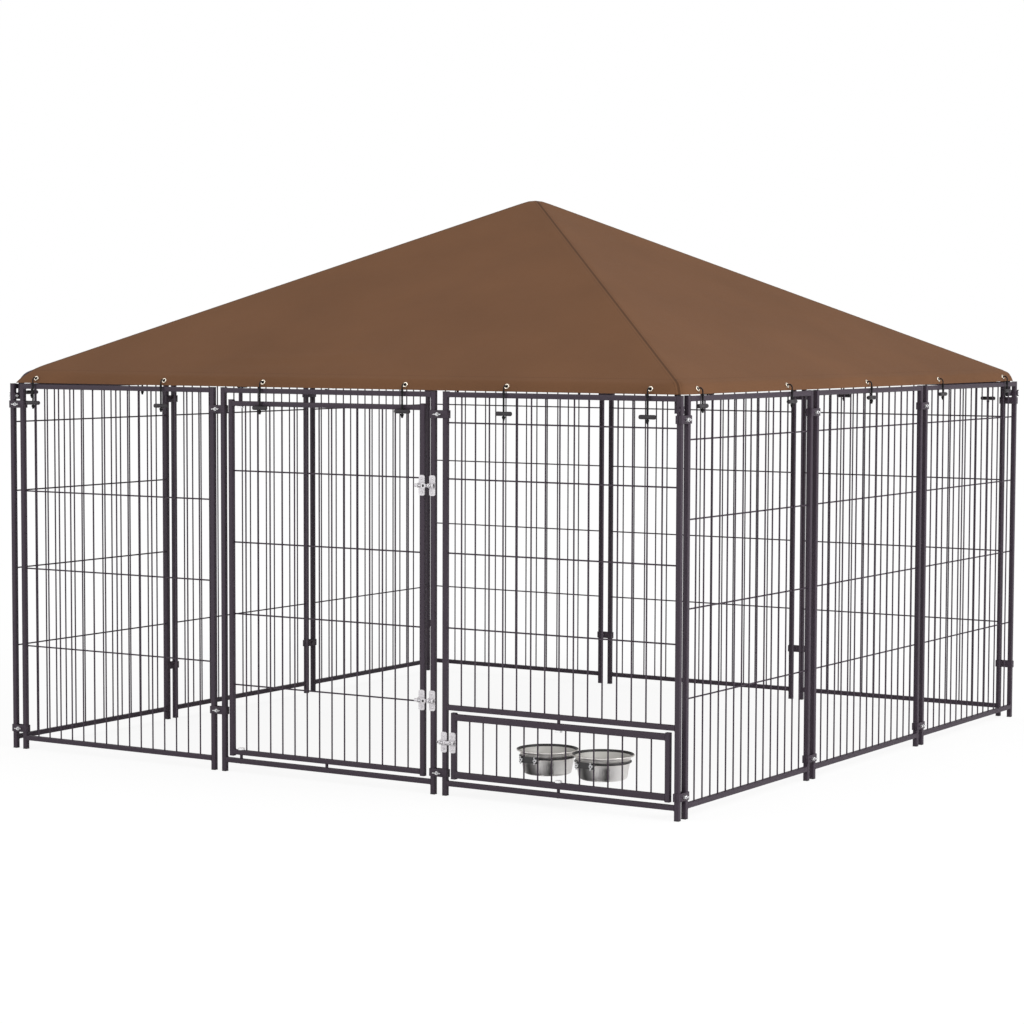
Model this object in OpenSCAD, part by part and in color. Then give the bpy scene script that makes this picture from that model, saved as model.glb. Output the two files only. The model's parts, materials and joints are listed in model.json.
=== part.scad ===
// Outdoor dog kennel run: twelve welded mesh panels set out in a square, a hinged door,
// a turning feeder gate with two bowls, and a fabric roof stretched over four hip poles.
// Face 0 is the front with the door; the other faces are the front turned by quarter turns.
// In a face's own frame x runs left to right, y runs inwards from the outer plane and z is up.

/* [Panels] */
// Width of one panel over its two posts
panel_w = 680; // [620:10:760]
// Height of a panel
panel_h = 1020; // [980:10:1200]
// Gap between the posts of neighbouring panels
post_gap = 23; // [20:1:30]
// Height of the lower rail above the ground
rail_z = 25; // [15:1:30]
// Side of the square tube
tube = 13; // [12:0.5:15]
// Wall of the square tube
tube_wall = 1.2; // [1:0.1:1.5]
// Number of upright wires in a plain panel
panel_bars = 15; // [11:2:17]
// Diameter of the mesh wire
wire_d = 4; // [3:0.25:5]
// Depth by which crossing wires and tubes are welded into each other
weld = 0.5; // [0.3:0.1:0.8]
// Heights of the level wires of a plain panel below its top wire
panel_wires = [290, 507, 723];
// Distance of a plain panel's top wire below the panel top
panel_wire_drop = 105; // [60:1:130]

/* [Door] */
// Gap between the hinge post and the leaf
hinge_gap = 13; // [10:1:20]
// Gap between the leaf and the latch post
latch_gap = 19; // [16:1:24]
// Gap between the lower rail and the leaf
leaf_lift = 6; // [4:1:12]
// Gap between the leaf and the top rail
leaf_drop = 17; // [12:1:30]
// Length by which the stiles stand past the rails of the leaf
stile_over = 4; // [2:0.5:8]
// Number of upright wires in the leaf
leaf_bars = 14; // [10:2:16]
// Heights of the level wires of the leaf
leaf_wires = [234, 423, 613, 802];
// Distance of the pivot from the hinge edge of the leaf
pivot_inset = 35; // [30:1:40]
// Diameter of the pivot bolts of the door and of the feeder gate
pivot_d = 8; // [7:0.5:8.5]
// Diameter of the rest stud under the middle of the leaf
stud_d = 8; // [6:0.5:10]

/* [Feeder] */
// Height of the rail above the feeder gate
mid_rail_z = 218.5; // [205:0.5:235]
// Heights of the level wires above the feeder gate, below the top wire
feeder_wires = [426, 615, 802];
// Distance of the feeder panel's top wire below the panel top
feeder_wire_drop = 77; // [60:1:110]
// Gap between the feeder gate and its posts
gate_gap = 13; // [11:1:18]
// Gap above and below the feeder gate
gate_clear = 6; // [4:0.5:8]
// Height of the two rails of the feeder gate
gate_rail_h = 16; // [13:1:18]
// Length by which the stiles stand past the rails of the gate
gate_over = 3; // [2:0.5:5]
// Number of upright wires in the feeder gate
gate_bars = 14; // [12:2:16]

/* [Bowls] */
// Diameter over the rolled rim of a bowl
bowl_d = 157; // [145:1:160]
// Height of a bowl
bowl_h = 62; // [50:1:70]
// Height of the rim above the ground
bowl_rim_z = 130; // [120:1:150]
// Radius of the bowl wall just under the flare of the rim
bowl_wall_r = 69; // [62:1:70]
// Radius of the flat bottom of a bowl
bowl_foot_r = 53; // [40:1:56]
// Thickness of the bowl metal
bowl_t = 1.2; // [1:0.1:2]
// Distance of the ring below the rim
ring_drop = 18; // [14:1:24]
// Diameter of the ring wire
ring_d = 4; // [3.5:0.5:5]
// Distance of the bowl axis behind the outer plane
bowl_y = 94; // [94:1:110]

/* [Latches] */
// Height of the upper door latch
upper_latch_z = 784; // [700:1:860]
// Height of the lower door latch
lower_latch_z = 239; // [200:1:300]
// Height of the feeder latch
feeder_latch_z = 137; // [120:1:150]
// Width of a latch plate
latch_w = 17.5; // [15:0.5:18]
// Height of a latch plate
latch_h = 52; // [44:1:60]
// Thickness of a latch plate
latch_t = 2; // [1.5:0.1:2.5]
// Diameter of the latch bolt
bolt_d = 8; // [6:0.5:9]
// Wall of the barrel that guides the latch bolt
barrel_wall = 2; // [1.5:0.1:2.5]
// Diameter of the thumb plate of a door bolt
thumb_d = 15; // [12:0.5:15]
// Diameter of the neck under the thumb plate
neck_d = 4; // [3:0.5:4.5]
// Travel of a door bolt
bolt_throw = 7; // [5:0.5:7]
// Length by which the tail of a latch bolt stands out of its carrier
tail_out = 9; // [8:0.5:10]

/* [Clamps] */
// Height of a clamp
clamp_h = 20; // [16:1:26]
// Thickness of the clamp sheet
clamp_t = 1.6; // [1.2:0.1:2]
// Distance of the upper clamps' middle below the panel top
upper_clamp_drop = 56; // [55:1:70]
// Height of the low clamps' middle
low_clamp_z = 57; // [55:1:64]
// Height of the raised low clamps' middle
raised_clamp_z = 162; // [140:1:180]
// Diameter of the clamp bolts
clamp_bolt_d = 6; // [5:0.5:7]

/* [Roof] */
// Rise of the roof's peak above the panels
roof_rise = 526; // [420:1:600]
// Depth by which the peak is flattened
peak_cut = 7; // [3:0.5:8]
// Height of the hem's upper face above the panels
hem_gap = 5.5; // [5:0.5:10]
// Depth by which the hem turns down below the slope's foot
hem_droop = 17.5; // [10:0.5:18]
// Further droop of the four corners
corner_droop = 1; // [0:0.5:1.5]
// Distance of the hem inside the outer plane
hem_inset = 3; // [2:0.5:6]
// Corner radius of the hem, seen from above
hem_r = 30; // [20:1:40]
// Height of the fabric's solid
fabric_t = 2; // [1.5:0.1:2.5]
// Sag of each slope between its hips
slope_sag = 6; // [0:1:15]
// Diameter of the hip poles
pole_d = 16; // [14:0.5:18]
// Wall of the hip poles
pole_wall = 1.2; // [1:0.1:1.5]
// Bend radius of a hip pole above its leg
pole_bend_r = 40; // [34:1:44]
// Height at which the leg of a hip pole ends above the upper clamp
leg_clear = 4; // [3:0.5:8]
// Height of the lug on the leg of a hip pole
lug_h = 18; // [14:1:20]
// Thickness of the lug
lug_t = 4; // [3:0.5:5]
// Diameter of the screw that holds a hip pole
pole_screw_d = 5; // [4:0.5:6]

/* [Ties] */
// Distances of the front ties from the left and right edge of each panel
front_ties = [[54, 173], [135, 95], [185, 89]];
// Distance of the outermost tie of the other faces from the corner
tie_end = 96; // [80:1:150]
// Number of ties on each of the other faces
tie_count = 5; // [3:1:7]
// Distance of the toggles of the front and the back below the panel top
front_toggle_drop = 51; // [45:1:70]
// Distance of the toggles of the two sides below the panel top
side_toggle_drop = 25; // [20:1:45]
// Length of a toggle
toggle_l = 46; // [40:1:60]
// Diameter of a toggle
toggle_d = 11; // [9:0.5:12]
// Diameter of the elastic cord
cord_d = 5; // [4:0.5:6]
// Diameter of the hook wire
hook_d = 3; // [2.5:0.25:3.5]
// Distance of the grommets from the hem
grommet_inset = 9; // [8:0.5:14]
// Diameter of a grommet
grommet_d = 14; // [12:1:18]

/* [Fits] */
// Radial clearance of a bolt that turns or slides
run_fit = 0.05; // [0.02:0.01:0.09]
// Radial clearance of a fastener in its hole
hole_fit = 0.2; // [0.1:0.05:0.3]
// Clearance between seated pieces
seat_fit = 0.3; // [0.2:0.05:0.4]
// Clearance of the end plugs in the tubes
plug_fit = 0.1; // [0.05:0.05:0.2]
// Clearance between a latch bolt at rest and its keeper
tip_fit = 1.5; // [1:0.1:2]

/* [Hidden] */
$fn = 32;
eps = 1;
wire_fn = 16;

paint = "#484046";
zinc = "#d9d9dc";
steel = "#b9b9ba";
black = "#1f1d20";
brown = "#7d583f";

face_panels = 3;
run_w = face_panels*panel_w + face_panels*post_gap + tube;
half = run_w/2;
tube_bore = tube - 2*tube_wall;
mid_y = tube/2;
rail_top = rail_z + tube;
top_rail_z = panel_h - tube;
panel_top_wire = panel_h - panel_wire_drop;
feeder_levels = concat(feeder_wires, [panel_h - feeder_wire_drop]);
foot_t = 3;
cap_t = 1.5;
plug_l = 8;
hole_d = pivot_d + 2*run_fit;

leaf_x = tube + hinge_gap;
leaf_w = panel_w - 2*tube - hinge_gap - latch_gap;
leaf_z = rail_top + leaf_lift;
leaf_top = top_rail_z - leaf_drop;
pivot_x = leaf_x + pivot_inset;

gate_x = tube + gate_gap;
gate_w = panel_w - 2*gate_x;
gate_z = rail_top + gate_clear;
gate_top = mid_rail_z - gate_clear;
gate_pitch = (gate_w - 2*tube)/(gate_bars + 1);
gate_mid = panel_w/2;

pivot_head_d = 18;
pivot_head_h = 5;
pivot_hold = tube - tube_wall - eps;

bowl_gap = 3;
pair_n = ceil((bowl_d + bowl_gap)/gate_pitch);
flare_h = 9;
bowl_corner = 8;
bowl_taper_h = bowl_h - flare_h - bowl_corner;
ring_z = bowl_rim_z - ring_drop;
ring_bowl_r = bowl_wall_r - (ring_drop - flare_h)*(bowl_wall_r - bowl_foot_r - bowl_corner)/bowl_taper_h;
ring_r = ring_bowl_r + seat_fit + ring_d/2;
plate_margin = 5;
plate_h = 15;
plate_t = 2;
plate_y = mid_y - wire_d/2 - seat_fit - plate_t;
prong_clear = 0.5;
prong_tip = 1;
prong_x = gate_pitch/2;
bowl_shift = (wire_d + ring_d)/2 + prong_clear;
plate_w = 2*prong_x + ring_d + 2*plate_margin;
bowl_nut_h = 5;
bowl_nut_d = 10;

barrel_d = bolt_d + 2*run_fit + 2*barrel_wall;
barrel_rise = 1;
barrel_y = -latch_t - bolt_d/2 - run_fit - barrel_rise;
latch_r = 5;
screw_z = latch_h/2 - latch_w/2;
screw_d = 4;
screw_head_d = 7;
screw_head_h = 2;
thumb_t = 3;
thumb_gap = 0.5;
thumb_y = -barrel_d/2 - thumb_gap;
thumb_hole_d = 7;
eye_hole_d = 4;
neck_clear = 0.5;
leaf_stile_x = leaf_x + leaf_w - tube/2;
latch_post_x = panel_w - tube/2;
thumb_x = latch_post_x - latch_w/2 - neck_clear - neck_d/2 - bolt_throw;
gate_stile_x = gate_x + tube/2;

upper_clamp_z = panel_h - upper_clamp_drop;
clamp_span = post_gap + 2*tube + 2*(seat_fit + clamp_t);
lip_gap = 1;
clamp_lip = mid_y - lip_gap/2;
clamp_head_d = 12;
clamp_head_h = 3;
wing_hub_d = 11;
wing_hub_h = 7;
wing_span = 12;
wing_t = 2.4;
wing_tip_r = 2.5;
wing_root = 2;
clamp_tip = 4.2;

hem = half - hem_inset;
apex_z = panel_h + roof_rise;
ridge_z = apex_z + peak_cut;
eave_z = panel_h + hem_gap + hem_droop;
slope = (ridge_z - eave_z)/hem;
hip_slope = slope/sqrt(2);
hip_angle = atan(hip_slope);
hip_r = 8;
hem_taper = 0.7;
droop_zone = 28;
pole_fit = 0.8;
pole_bore = pole_d - 2*pole_wall;
pole_drop = fabric_t + slope*(1 - sqrt(0.5))*hip_r + (pole_d/2 + pole_fit)/cos(hip_angle);
leg_inset = pole_d/2 + seat_fit;
leg_q = (half - tube - leg_inset)*sqrt(2);
leg_z = upper_clamp_z + clamp_h/2 + leg_clear;
bend_turn = 90 - hip_angle;
bend_z = ridge_z - pole_drop - hip_slope*leg_q - pole_bend_r*tan(bend_turn/2);
foot_q = leg_q - pole_bend_r*(1 - cos(bend_turn));
foot_z = bend_z + pole_bend_r*sin(bend_turn);
swage = 0.2;
spigot_l = 60;
screw_post_x = panel_w - tube/2;
lug_y = tube + seat_fit;
lug_edge = 1;
pole_screw_z = leg_z + lug_h/2;
pole_nut_h = 4;
pole_nut_d = 9;

hub_r = 28;
hub_h = 32;
hub_gap = 10;
hub_z = ridge_z - pole_drop - hip_slope*hub_r - hub_h/2;

toggle_gap = 0.5;
tie_y = -toggle_d/2 - toggle_gap;
grommet_t = 1;
grommet_hole_d = 8;
hook_rise = 5;
hook_drop = 1;
hook_end_z = panel_h - hook_drop;
knot_h = 11;
knot_d = 9;
grommet_a = hem - grommet_inset;
grommet_share = 1 - grommet_inset/droop_zone;
grommet_z = ridge_z - slope*grommet_a - hem_droop*grommet_share*grommet_share;
grommet_angle = atan(slope + 2*hem_droop*grommet_share/droop_zone);

/* Points of the roof fabric */
arc_n = 4;
side_n = 8;
quarter_n = arc_n + side_n;
insets = [0, 6, 14, droop_zone, 70];
span_n = 5;
peak_sizes = [40, 18];
corner_power = 8;
ring_sizes = concat([for (d = insets) hem - d],
  [for (i = [1:span_n - 1]) (hem - insets[4])*(1 - i/span_n)], peak_sizes);
ring_n = len(ring_sizes);
gore_n = quarter_n + 1;
gore_count = ring_n*gore_n + 1;

function panel_x(i) = half - face_panels*panel_w - (face_panels - 1)*post_gap + i*(panel_w + post_gap);

// The front panel has no top wire, and the two rear panels of the left face have no middle wires
function panel_levels(k, i) = k == 0 ? panel_wires
  : k == 3 && i < face_panels - 1 ? [panel_wires[0], panel_top_wire]
  : concat(panel_wires, [panel_top_wire]);

function joint_x(i) = panel_x(i) - post_gap/2;

function lower_z(k, i) = (k == 0 && i != 1) || k == 1 ? low_clamp_z : raised_clamp_z;

function tie_xs(k) = k == 0
  ? [for (i = [0:face_panels - 1]) for (s = [0, 1])
      s == 0 ? panel_x(i) + front_ties[i][0] : panel_x(i) + panel_w - front_ties[i][1]]
  : [for (i = [0:tie_count - 1]) (half - tie_end)*(2*i/(tie_count - 1) - 1)];

function toggle_z(k) = panel_h - (k % 2 == 0 ? front_toggle_drop : side_toggle_drop);

function hip_round(a) = min(a/2, max(hip_r, hem_r - hem_taper*(hem - a)));

function turned(p, q) = q == 0 ? p : turned([-p[1], p[0]], q - 1);

function quarter_point(a, i) = let (r = hip_round(a), c = a - r, w = 90*i/arc_n)
  i <= arc_n ? [c + r*cos(w), c + r*sin(w)] : [c*(1 - 2*(i - arc_n)/side_n), a];

function corner_share(i) = i <= arc_n ? 1 : pow(abs(1 - 2*(i - arc_n)/side_n), corner_power);

function drooped(a) = pow(max(0, 1 - (hem - a)/droop_zone), 2);

function sagged(a, i) = i <= arc_n ? 0 : slope_sag*sin(180*a/hem)*sin(180*(i - arc_n)/side_n);

function fabric_z(a, i) = ridge_z - slope*a - sagged(a, i)
  - drooped(a)*(hem_droop + corner_droop*corner_share(i));

/* One gore of the fabric runs from the middle of a hip to the middle of the next */
function gore_ring(a, t) = [for (j = [arc_n/2:arc_n/2 + quarter_n])
  let (i = j % quarter_n, p = turned(quarter_point(a, i), j < quarter_n ? 0 : 1))
    [p[0], p[1], fabric_z(a, i) - t]];

function gore_points(t) = concat([for (a = ring_sizes) each gore_ring(a, t)], [[0, 0, apex_z - t]]);

function gore_hip(j) = concat([for (k = [0:ring_n - 1]) k*gore_n + j], [ring_n*gore_n]);

function strip(first, k, up) = [for (j = [0:quarter_n - 1])
  let (b = first + k*gore_n + j, c = b + gore_n)
  each up ? [[b, c, c + 1], [b, c + 1, b + 1]] : [[b, c + 1, c], [b, b + 1, c + 1]]];

function peak(first, up) = [for (j = [0:quarter_n - 1])
  let (b = first + (ring_n - 1)*gore_n + j, c = first + ring_n*gore_n)
  up ? [b, c, b + 1] : [b, b + 1, c]];

function rim(first) = [for (j = [0:quarter_n - 1])
  each [[j, j + 1, first + j + 1], [j, first + j + 1, first + j]]];

function seam(first, hip, left) = [for (k = [0:ring_n - 1]) let (p = hip[k], n = hip[k + 1])
  left ? [n, p, first + p, first + n] : [p, n, first + n, first + p]];

module on_face(k) {
  rotate([0, 0, 90*k]) translate([0, -half, 0]) children();
}

module on_panel(k, i) {
  on_face(k) translate([panel_x(i), 0, 0]) children();
}

module along_x() {
  rotate([0, 90, 0]) children();
}

module along_y() {
  rotate([-90, 0, 0]) children();
}

module upright(l) {
  difference() {
    cube([tube, tube, l]);
    translate([tube_wall, tube_wall, -eps]) cube([tube_bore, tube_bore, l + 2*eps]);
  }
}

module level(l, h = tube) {
  translate([-weld, 0, 0]) difference() {
    cube([l + 2*weld, tube, h]);
    translate([-eps, tube_wall, tube_wall]) cube([l + 2*weld + 2*eps, tube_bore, h - 2*tube_wall]);
  }
}

module wire(l) {
  cylinder(d = wire_d, h = l, $fn = wire_fn);
}

// Welded mesh that fills the opening from x0 to x1 and from z0 to z1, sunk by s into its edges
module mesh(x0, x1, z0, z1, bars, heights, s = weld) {
  for (i = [1:bars])
    translate([x0 + (x1 - x0)*i/(bars + 1), mid_y, z0 - s]) wire(z1 - z0 + 2*s);
  for (z = heights)
    translate([x0 - s, mid_y + wire_d - weld, z]) along_x() wire(x1 - x0 + 2*s);
}

module panel_frame() {
  for (x = [0, panel_w - tube])
    translate([x, 0, foot_t]) upright(panel_h - foot_t);
  for (z = [rail_z, top_rail_z])
    translate([tube, 0, z]) level(panel_w - 2*tube);
}

module pole_hole() {
  translate([screw_post_x, -eps, pole_screw_z])
    along_y() cylinder(d = pole_screw_d + 2*hole_fit, h = tube + 2*eps);
}

module plain_panel(k, i) {
  color(paint) on_panel(k, i) difference() {
    union() {
      panel_frame();
      mesh(tube, panel_w - tube, rail_top, top_rail_z, panel_bars, panel_levels(k, i));
    }
    if (i == face_panels - 1) pole_hole();
  }
}

module front_panel() {
  plain_panel(0, 0);
}

module door_frame() {
  color(paint) on_panel(0, 1) difference() {
    panel_frame();
    translate([pivot_x, mid_y, rail_top - tube_wall - eps])
      cylinder(d = pivot_d + 2*hole_fit, h = tube_wall + 2*eps);
    translate([pivot_x, mid_y, top_rail_z - eps])
      cylinder(d = pivot_d + 2*hole_fit, h = tube_wall + 2*eps);
  }
}

module feeder_frame() {
  color(paint) on_panel(0, 2) difference() {
    union() {
      panel_frame();
      translate([tube, 0, mid_rail_z]) level(panel_w - 2*tube);
    }
    pole_hole();
    for (z = [rail_top - tube_wall - eps, mid_rail_z - eps])
      translate([gate_mid, mid_y, z]) cylinder(d = pivot_d + 2*hole_fit, h = tube_wall + 2*eps);
  }
}

module feeder_mesh() {
  color(paint) on_panel(0, 2)
    mesh(tube, panel_w - tube, mid_rail_z + tube, top_rail_z, panel_bars, feeder_levels, 0);
}

// Leaf of two stiles and two rails with a bore for the pivot bolts in each rail
module hung_leaf(x, w, z0, z1, over, rail_h, bars, heights, px) {
  low = z0 + over;
  high = z1 - over - rail_h;
  difference() {
    union() {
      for (sx = [x, x + w - tube])
        translate([sx, 0, z0]) upright(z1 - z0);
      for (z = [low, high])
        translate([x + tube, 0, z]) level(w - 2*tube, rail_h);
      mesh(x + tube, x + w - tube, low + rail_h, high, bars, heights);
    }
    for (z = [low, high])
      translate([px, mid_y, z - eps]) cylinder(d = hole_d, h = rail_h + 2*eps);
  }
}

module door_leaf() {
  color(paint) on_panel(0, 1)
    hung_leaf(leaf_x, leaf_w, leaf_z, leaf_top, stile_over, tube, leaf_bars, leaf_wires, pivot_x);
}

module feeder_gate() {
  color(paint) on_panel(0, 2)
    hung_leaf(gate_x, gate_w, gate_z, gate_top, gate_over, gate_rail_h, gate_bars, [], gate_mid);
}

// Pivot bolt with its head at z = 0 and its shank rising by l
module pivot_bolt(l) {
  translate([0, 0, -pivot_head_h]) cylinder(d = pivot_head_d, h = pivot_head_h);
  cylinder(d = pivot_d, h = l);
}

// Bolts at both ends of a leaf that lies between the heights low and high of two frame rails
module pivot_pair(z0, z1, over, rail_h, low, high) {
  head_z = z1 - over - rail_h - seat_fit;
  foot_z = z0 + over + rail_h + seat_fit;
  translate([0, mid_y, head_z]) pivot_bolt(high + pivot_hold - head_z);
  translate([0, mid_y, foot_z]) mirror([0, 0, 1]) pivot_bolt(foot_z - low + pivot_hold);
}

module pivot_bolts() {
  color(steel) {
    on_panel(0, 1) translate([pivot_x, 0, 0])
      pivot_pair(leaf_z, leaf_top, stile_over, tube, rail_top, top_rail_z);
    on_panel(0, 2) translate([gate_mid, 0, 0])
      pivot_pair(gate_z, gate_top, gate_over, gate_rail_h, rail_top, mid_rail_z);
  }
}

module door_studs() {
  rest_h = leaf_lift + stile_over - seat_fit;
  plug_h = 2;
  color(paint) on_panel(0, 1) translate([panel_w/2, mid_y, 0]) {
    translate([0, 0, rail_top]) cylinder(d = stud_d, h = rest_h);
    translate([0, 0, panel_h]) cylinder(d = stud_d, h = plug_h);
  }
}

module latch_outline() {
  w = latch_w/2 - latch_r;
  h = latch_h/2 - latch_r;
  for (x = [-w, w])
    for (z = [-h, h])
      translate([x, z]) circle(r = latch_r);
  square([latch_w, 2*h], center = true);
  square([2*w, latch_h], center = true);
}

// Latch plate on the outer plane with a barrel along x, bored for the latch bolt
module latch_plate(fit) {
  difference() {
    union() {
      rotate([90, 0, 0]) linear_extrude(latch_t) latch_outline();
      translate([-latch_w/2, barrel_y, 0]) along_x() cylinder(d = barrel_d, h = latch_w);
      translate([-latch_w/2, barrel_y, -barrel_d/2]) cube([latch_w, -barrel_y, barrel_d]);
    }
    translate([-latch_w/2 - eps, barrel_y, 0]) along_x() cylinder(d = bolt_d + 2*fit, h = latch_w + 2*eps);
    for (z = [-screw_z, screw_z])
      translate([0, -latch_t - eps, z]) along_y() cylinder(d = screw_d + 2*hole_fit, h = latch_t + 2*eps);
  }
}

module latch_screw() {
  rotate([90, 0, 0]) {
    cylinder(d = screw_d, h = latch_t);
    translate([0, 0, latch_t]) rotate_extrude() intersection() {
      translate([0, screw_head_h - screw_head_d]) circle(r = screw_head_d);
      square([screw_head_d/2, screw_head_h]);
    }
  }
}

module latch_screws() {
  for (z = [-screw_z, screw_z])
    translate([0, 0, z]) latch_screw();
}

// Rod of a latch bolt, with its tail left of the carrier at x0 and its tip at x1
module latch_rod(x0, x1) {
  tip_h = 1;
  tail = x0 - latch_w/2 - tail_out;
  translate([tail, 0, 0]) along_x() cylinder(d = bolt_d, h = x1 - tip_h - tail);
  translate([x1 - tip_h, 0, 0]) along_x() cylinder(d1 = bolt_d, d2 = bolt_d - 2*tip_h, h = tip_h);
}

// Thumb plate with a round hollow, on a neck that stands out of the rod
module thumb_plate() {
  translate([0, thumb_y - weld, 0]) along_y() cylinder(d = neck_d, h = weld - thumb_y);
  translate([0, thumb_y - thumb_t, 0]) along_y() difference() {
    cylinder(d = thumb_d, h = thumb_t);
    translate([0, 0, -eps]) cylinder(d = thumb_hole_d, h = thumb_t/2 + eps);
  }
}

module door_carrier(z) {
  color(zinc) on_panel(0, 1) translate([leaf_stile_x, 0, z]) latch_plate(run_fit);
}

module door_keeper(z) {
  color(zinc) on_panel(0, 1) translate([latch_post_x, 0, z]) latch_plate(seat_fit);
}

module door_bolt(z) {
  color(zinc) on_panel(0, 1) translate([0, barrel_y, z]) {
    latch_rod(leaf_stile_x, latch_post_x - latch_w/2 - tip_fit);
    translate([thumb_x, 0, 0]) thumb_plate();
  }
}

module upper_latch_carrier() {
  door_carrier(upper_latch_z);
}

module upper_latch_keeper() {
  door_keeper(upper_latch_z);
}

module upper_latch_bolt() {
  door_bolt(upper_latch_z);
}

module lower_latch_carrier() {
  door_carrier(lower_latch_z);
}

module lower_latch_keeper() {
  door_keeper(lower_latch_z);
}

module lower_latch_bolt() {
  door_bolt(lower_latch_z);
}

module feeder_latch_carrier() {
  color(zinc) on_panel(0, 2) translate([tube/2, 0, feeder_latch_z]) latch_plate(run_fit);
}

module feeder_latch_keeper() {
  color(zinc) on_panel(0, 2) translate([gate_stile_x, 0, feeder_latch_z]) latch_plate(seat_fit);
}

// The feeder bolt is moved by a finger hole in its tail
module feeder_latch_bolt() {
  eye_x = tube/2 - latch_w/2 - tail_out + bolt_d/2;
  color(zinc) on_panel(0, 2) translate([0, barrel_y, feeder_latch_z]) difference() {
    latch_rod(tube/2, gate_stile_x - latch_w/2 - tip_fit);
    translate([eye_x, -bolt_d, 0]) along_y() cylinder(d = eye_hole_d, h = 2*bolt_d);
  }
}

module door_latch_screws() {
  color(steel) on_panel(0, 1) for (z = [upper_latch_z, lower_latch_z])
    translate([leaf_stile_x, 0, z]) latch_screws();
}

module post_latch_screws() {
  color(steel) {
    on_panel(0, 1) for (z = [upper_latch_z, lower_latch_z])
      translate([latch_post_x, 0, z]) latch_screws();
    on_panel(0, 2) translate([tube/2, 0, feeder_latch_z]) latch_screws();
  }
}

module gate_latch_screws() {
  color(steel) on_panel(0, 2) translate([gate_stile_x, 0, feeder_latch_z]) latch_screws();
}

// Place on the feeder gate of the bowl on side s, -1 left and 1 right
module at_bowl(s) {
  steps = s < 0 ? -floor(pair_n/2) : ceil(pair_n/2);
  on_panel(0, 2) translate([gate_mid + steps*gate_pitch - bowl_shift, 0, 0]) children();
}

// Ring with two prongs that reach forward, each on the left of a wire of the gate
module bowl_ring(s) {
  prong_y = bowl_y - sqrt(ring_r*ring_r - prong_x*prong_x);
  tip_y = plate_y - bowl_nut_h - prong_tip;
  color(black) at_bowl(s) translate([0, 0, ring_z]) {
    translate([0, bowl_y, 0]) rotate_extrude($fn = 64) translate([ring_r, 0]) circle(d = ring_d, $fn = 24);
    for (x = [-prong_x, prong_x])
      translate([x, tip_y, 0]) along_y() cylinder(d = ring_d - weld, h = prong_y - tip_y);
  }
}

module left_bowl_ring() {
  bowl_ring(-1);
}

module right_bowl_ring() {
  bowl_ring(1);
}

// Half section of a bowl grown inwards by t, with the flat bottom at height 0
module bowl_section(t) {
  wall_z = bowl_h - flare_h;
  hip_r0 = bowl_foot_r + bowl_corner;
  union() {
    polygon([[0, t], [bowl_foot_r, t], [hip_r0 - t, bowl_corner], [bowl_wall_r - t, wall_z],
      [bowl_wall_r - t, bowl_h + t], [0, bowl_h + t]]);
    translate([bowl_foot_r, bowl_corner]) circle(r = bowl_corner - t);
  }
}

module bowl(s) {
  lip_r = 2;
  flare_r = bowl_d/2 - lip_r;
  color(steel) at_bowl(s) translate([0, bowl_y, bowl_rim_z - bowl_h]) rotate_extrude($fn = 96) {
    difference() {
      intersection() {
        bowl_section(0);
        square([bowl_d, bowl_h - flare_h]);
      }
      bowl_section(bowl_t);
    }
    translate([0, bowl_h - flare_h]) polygon([[bowl_wall_r - bowl_t, 0], [bowl_wall_r, 0],
      [flare_r, flare_h - lip_r - bowl_t/2], [flare_r, flare_h - lip_r + bowl_t/2]]);
    translate([flare_r, bowl_h - lip_r]) circle(r = lip_r, $fn = 24);
  }
}

module left_bowl() {
  bowl(-1);
}

module right_bowl() {
  bowl(1);
}

module bowl_clamp_plates() {
  color(black) for (s = [-1, 1])
    at_bowl(s) translate([0, plate_y, ring_z]) difference() {
      translate([-plate_w/2, 0, -plate_h/2]) cube([plate_w, plate_t, plate_h]);
      for (x = [-prong_x, prong_x])
        translate([x, -eps, 0]) along_y() cylinder(d = ring_d + 2*hole_fit, h = plate_t + 2*eps);
    }
}

// Outline of two wings in the plane through their axis, the axis along -y and the seat at y = 0
module wing_outline(hub_h, span) {
  tip_x = span - wing_tip_r;
  for (s = [-1, 1]) {
    translate([s*tip_x, -hub_h]) circle(r = wing_tip_r);
    polygon([[0, -wing_root], [s*tip_x, wing_tip_r - hub_h], [s*tip_x, -hub_h - wing_tip_r], [0, -hub_h]]);
  }
}

module wing_head(hub_d, hub_h, span) {
  rotate([90, 0, 0]) cylinder(d = hub_d, h = hub_h);
  translate([0, 0, -wing_t/2]) linear_extrude(wing_t) wing_outline(hub_h, span);
}

module wing_nut(bolt, hub_d, hub_h, span) {
  difference() {
    wing_head(hub_d, hub_h, span);
    rotate([90, 0, 0]) translate([0, 0, -eps]) cylinder(d = bolt + 2*hole_fit, h = 2*hub_h);
  }
}

module bowl_wing_nuts() {
  color(zinc) for (s = [-1, 1])
    for (x = [-prong_x, prong_x])
      at_bowl(s) translate([x, plate_y, ring_z]) rotate([0, 90, 0])
        wing_nut(ring_d, bowl_nut_d, bowl_nut_h, bowl_nut_d);
}

module at_clamps() {
  for (k = [0:3])
    for (i = [0:face_panels - 1])
      for (z = [upper_clamp_z, lower_z(k, i)])
        on_face(k) translate([joint_x(i), 0, z]) children();
}

// Half clamp: a shallow channel over both posts, bored for the clamp bolt
module clamp_half() {
  back = seat_fit + clamp_t;
  translate([-clamp_span/2, 0, -clamp_h/2]) difference() {
    translate([0, -back, 0]) cube([clamp_span, back + clamp_lip, clamp_h]);
    translate([clamp_t, -seat_fit, -eps])
      cube([clamp_span - 2*clamp_t, clamp_lip + seat_fit + eps, clamp_h + 2*eps]);
    translate([clamp_span/2, -back - eps, clamp_h/2])
      along_y() cylinder(d = clamp_bolt_d + 2*hole_fit, h = back + 2*eps);
  }
}

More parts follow.
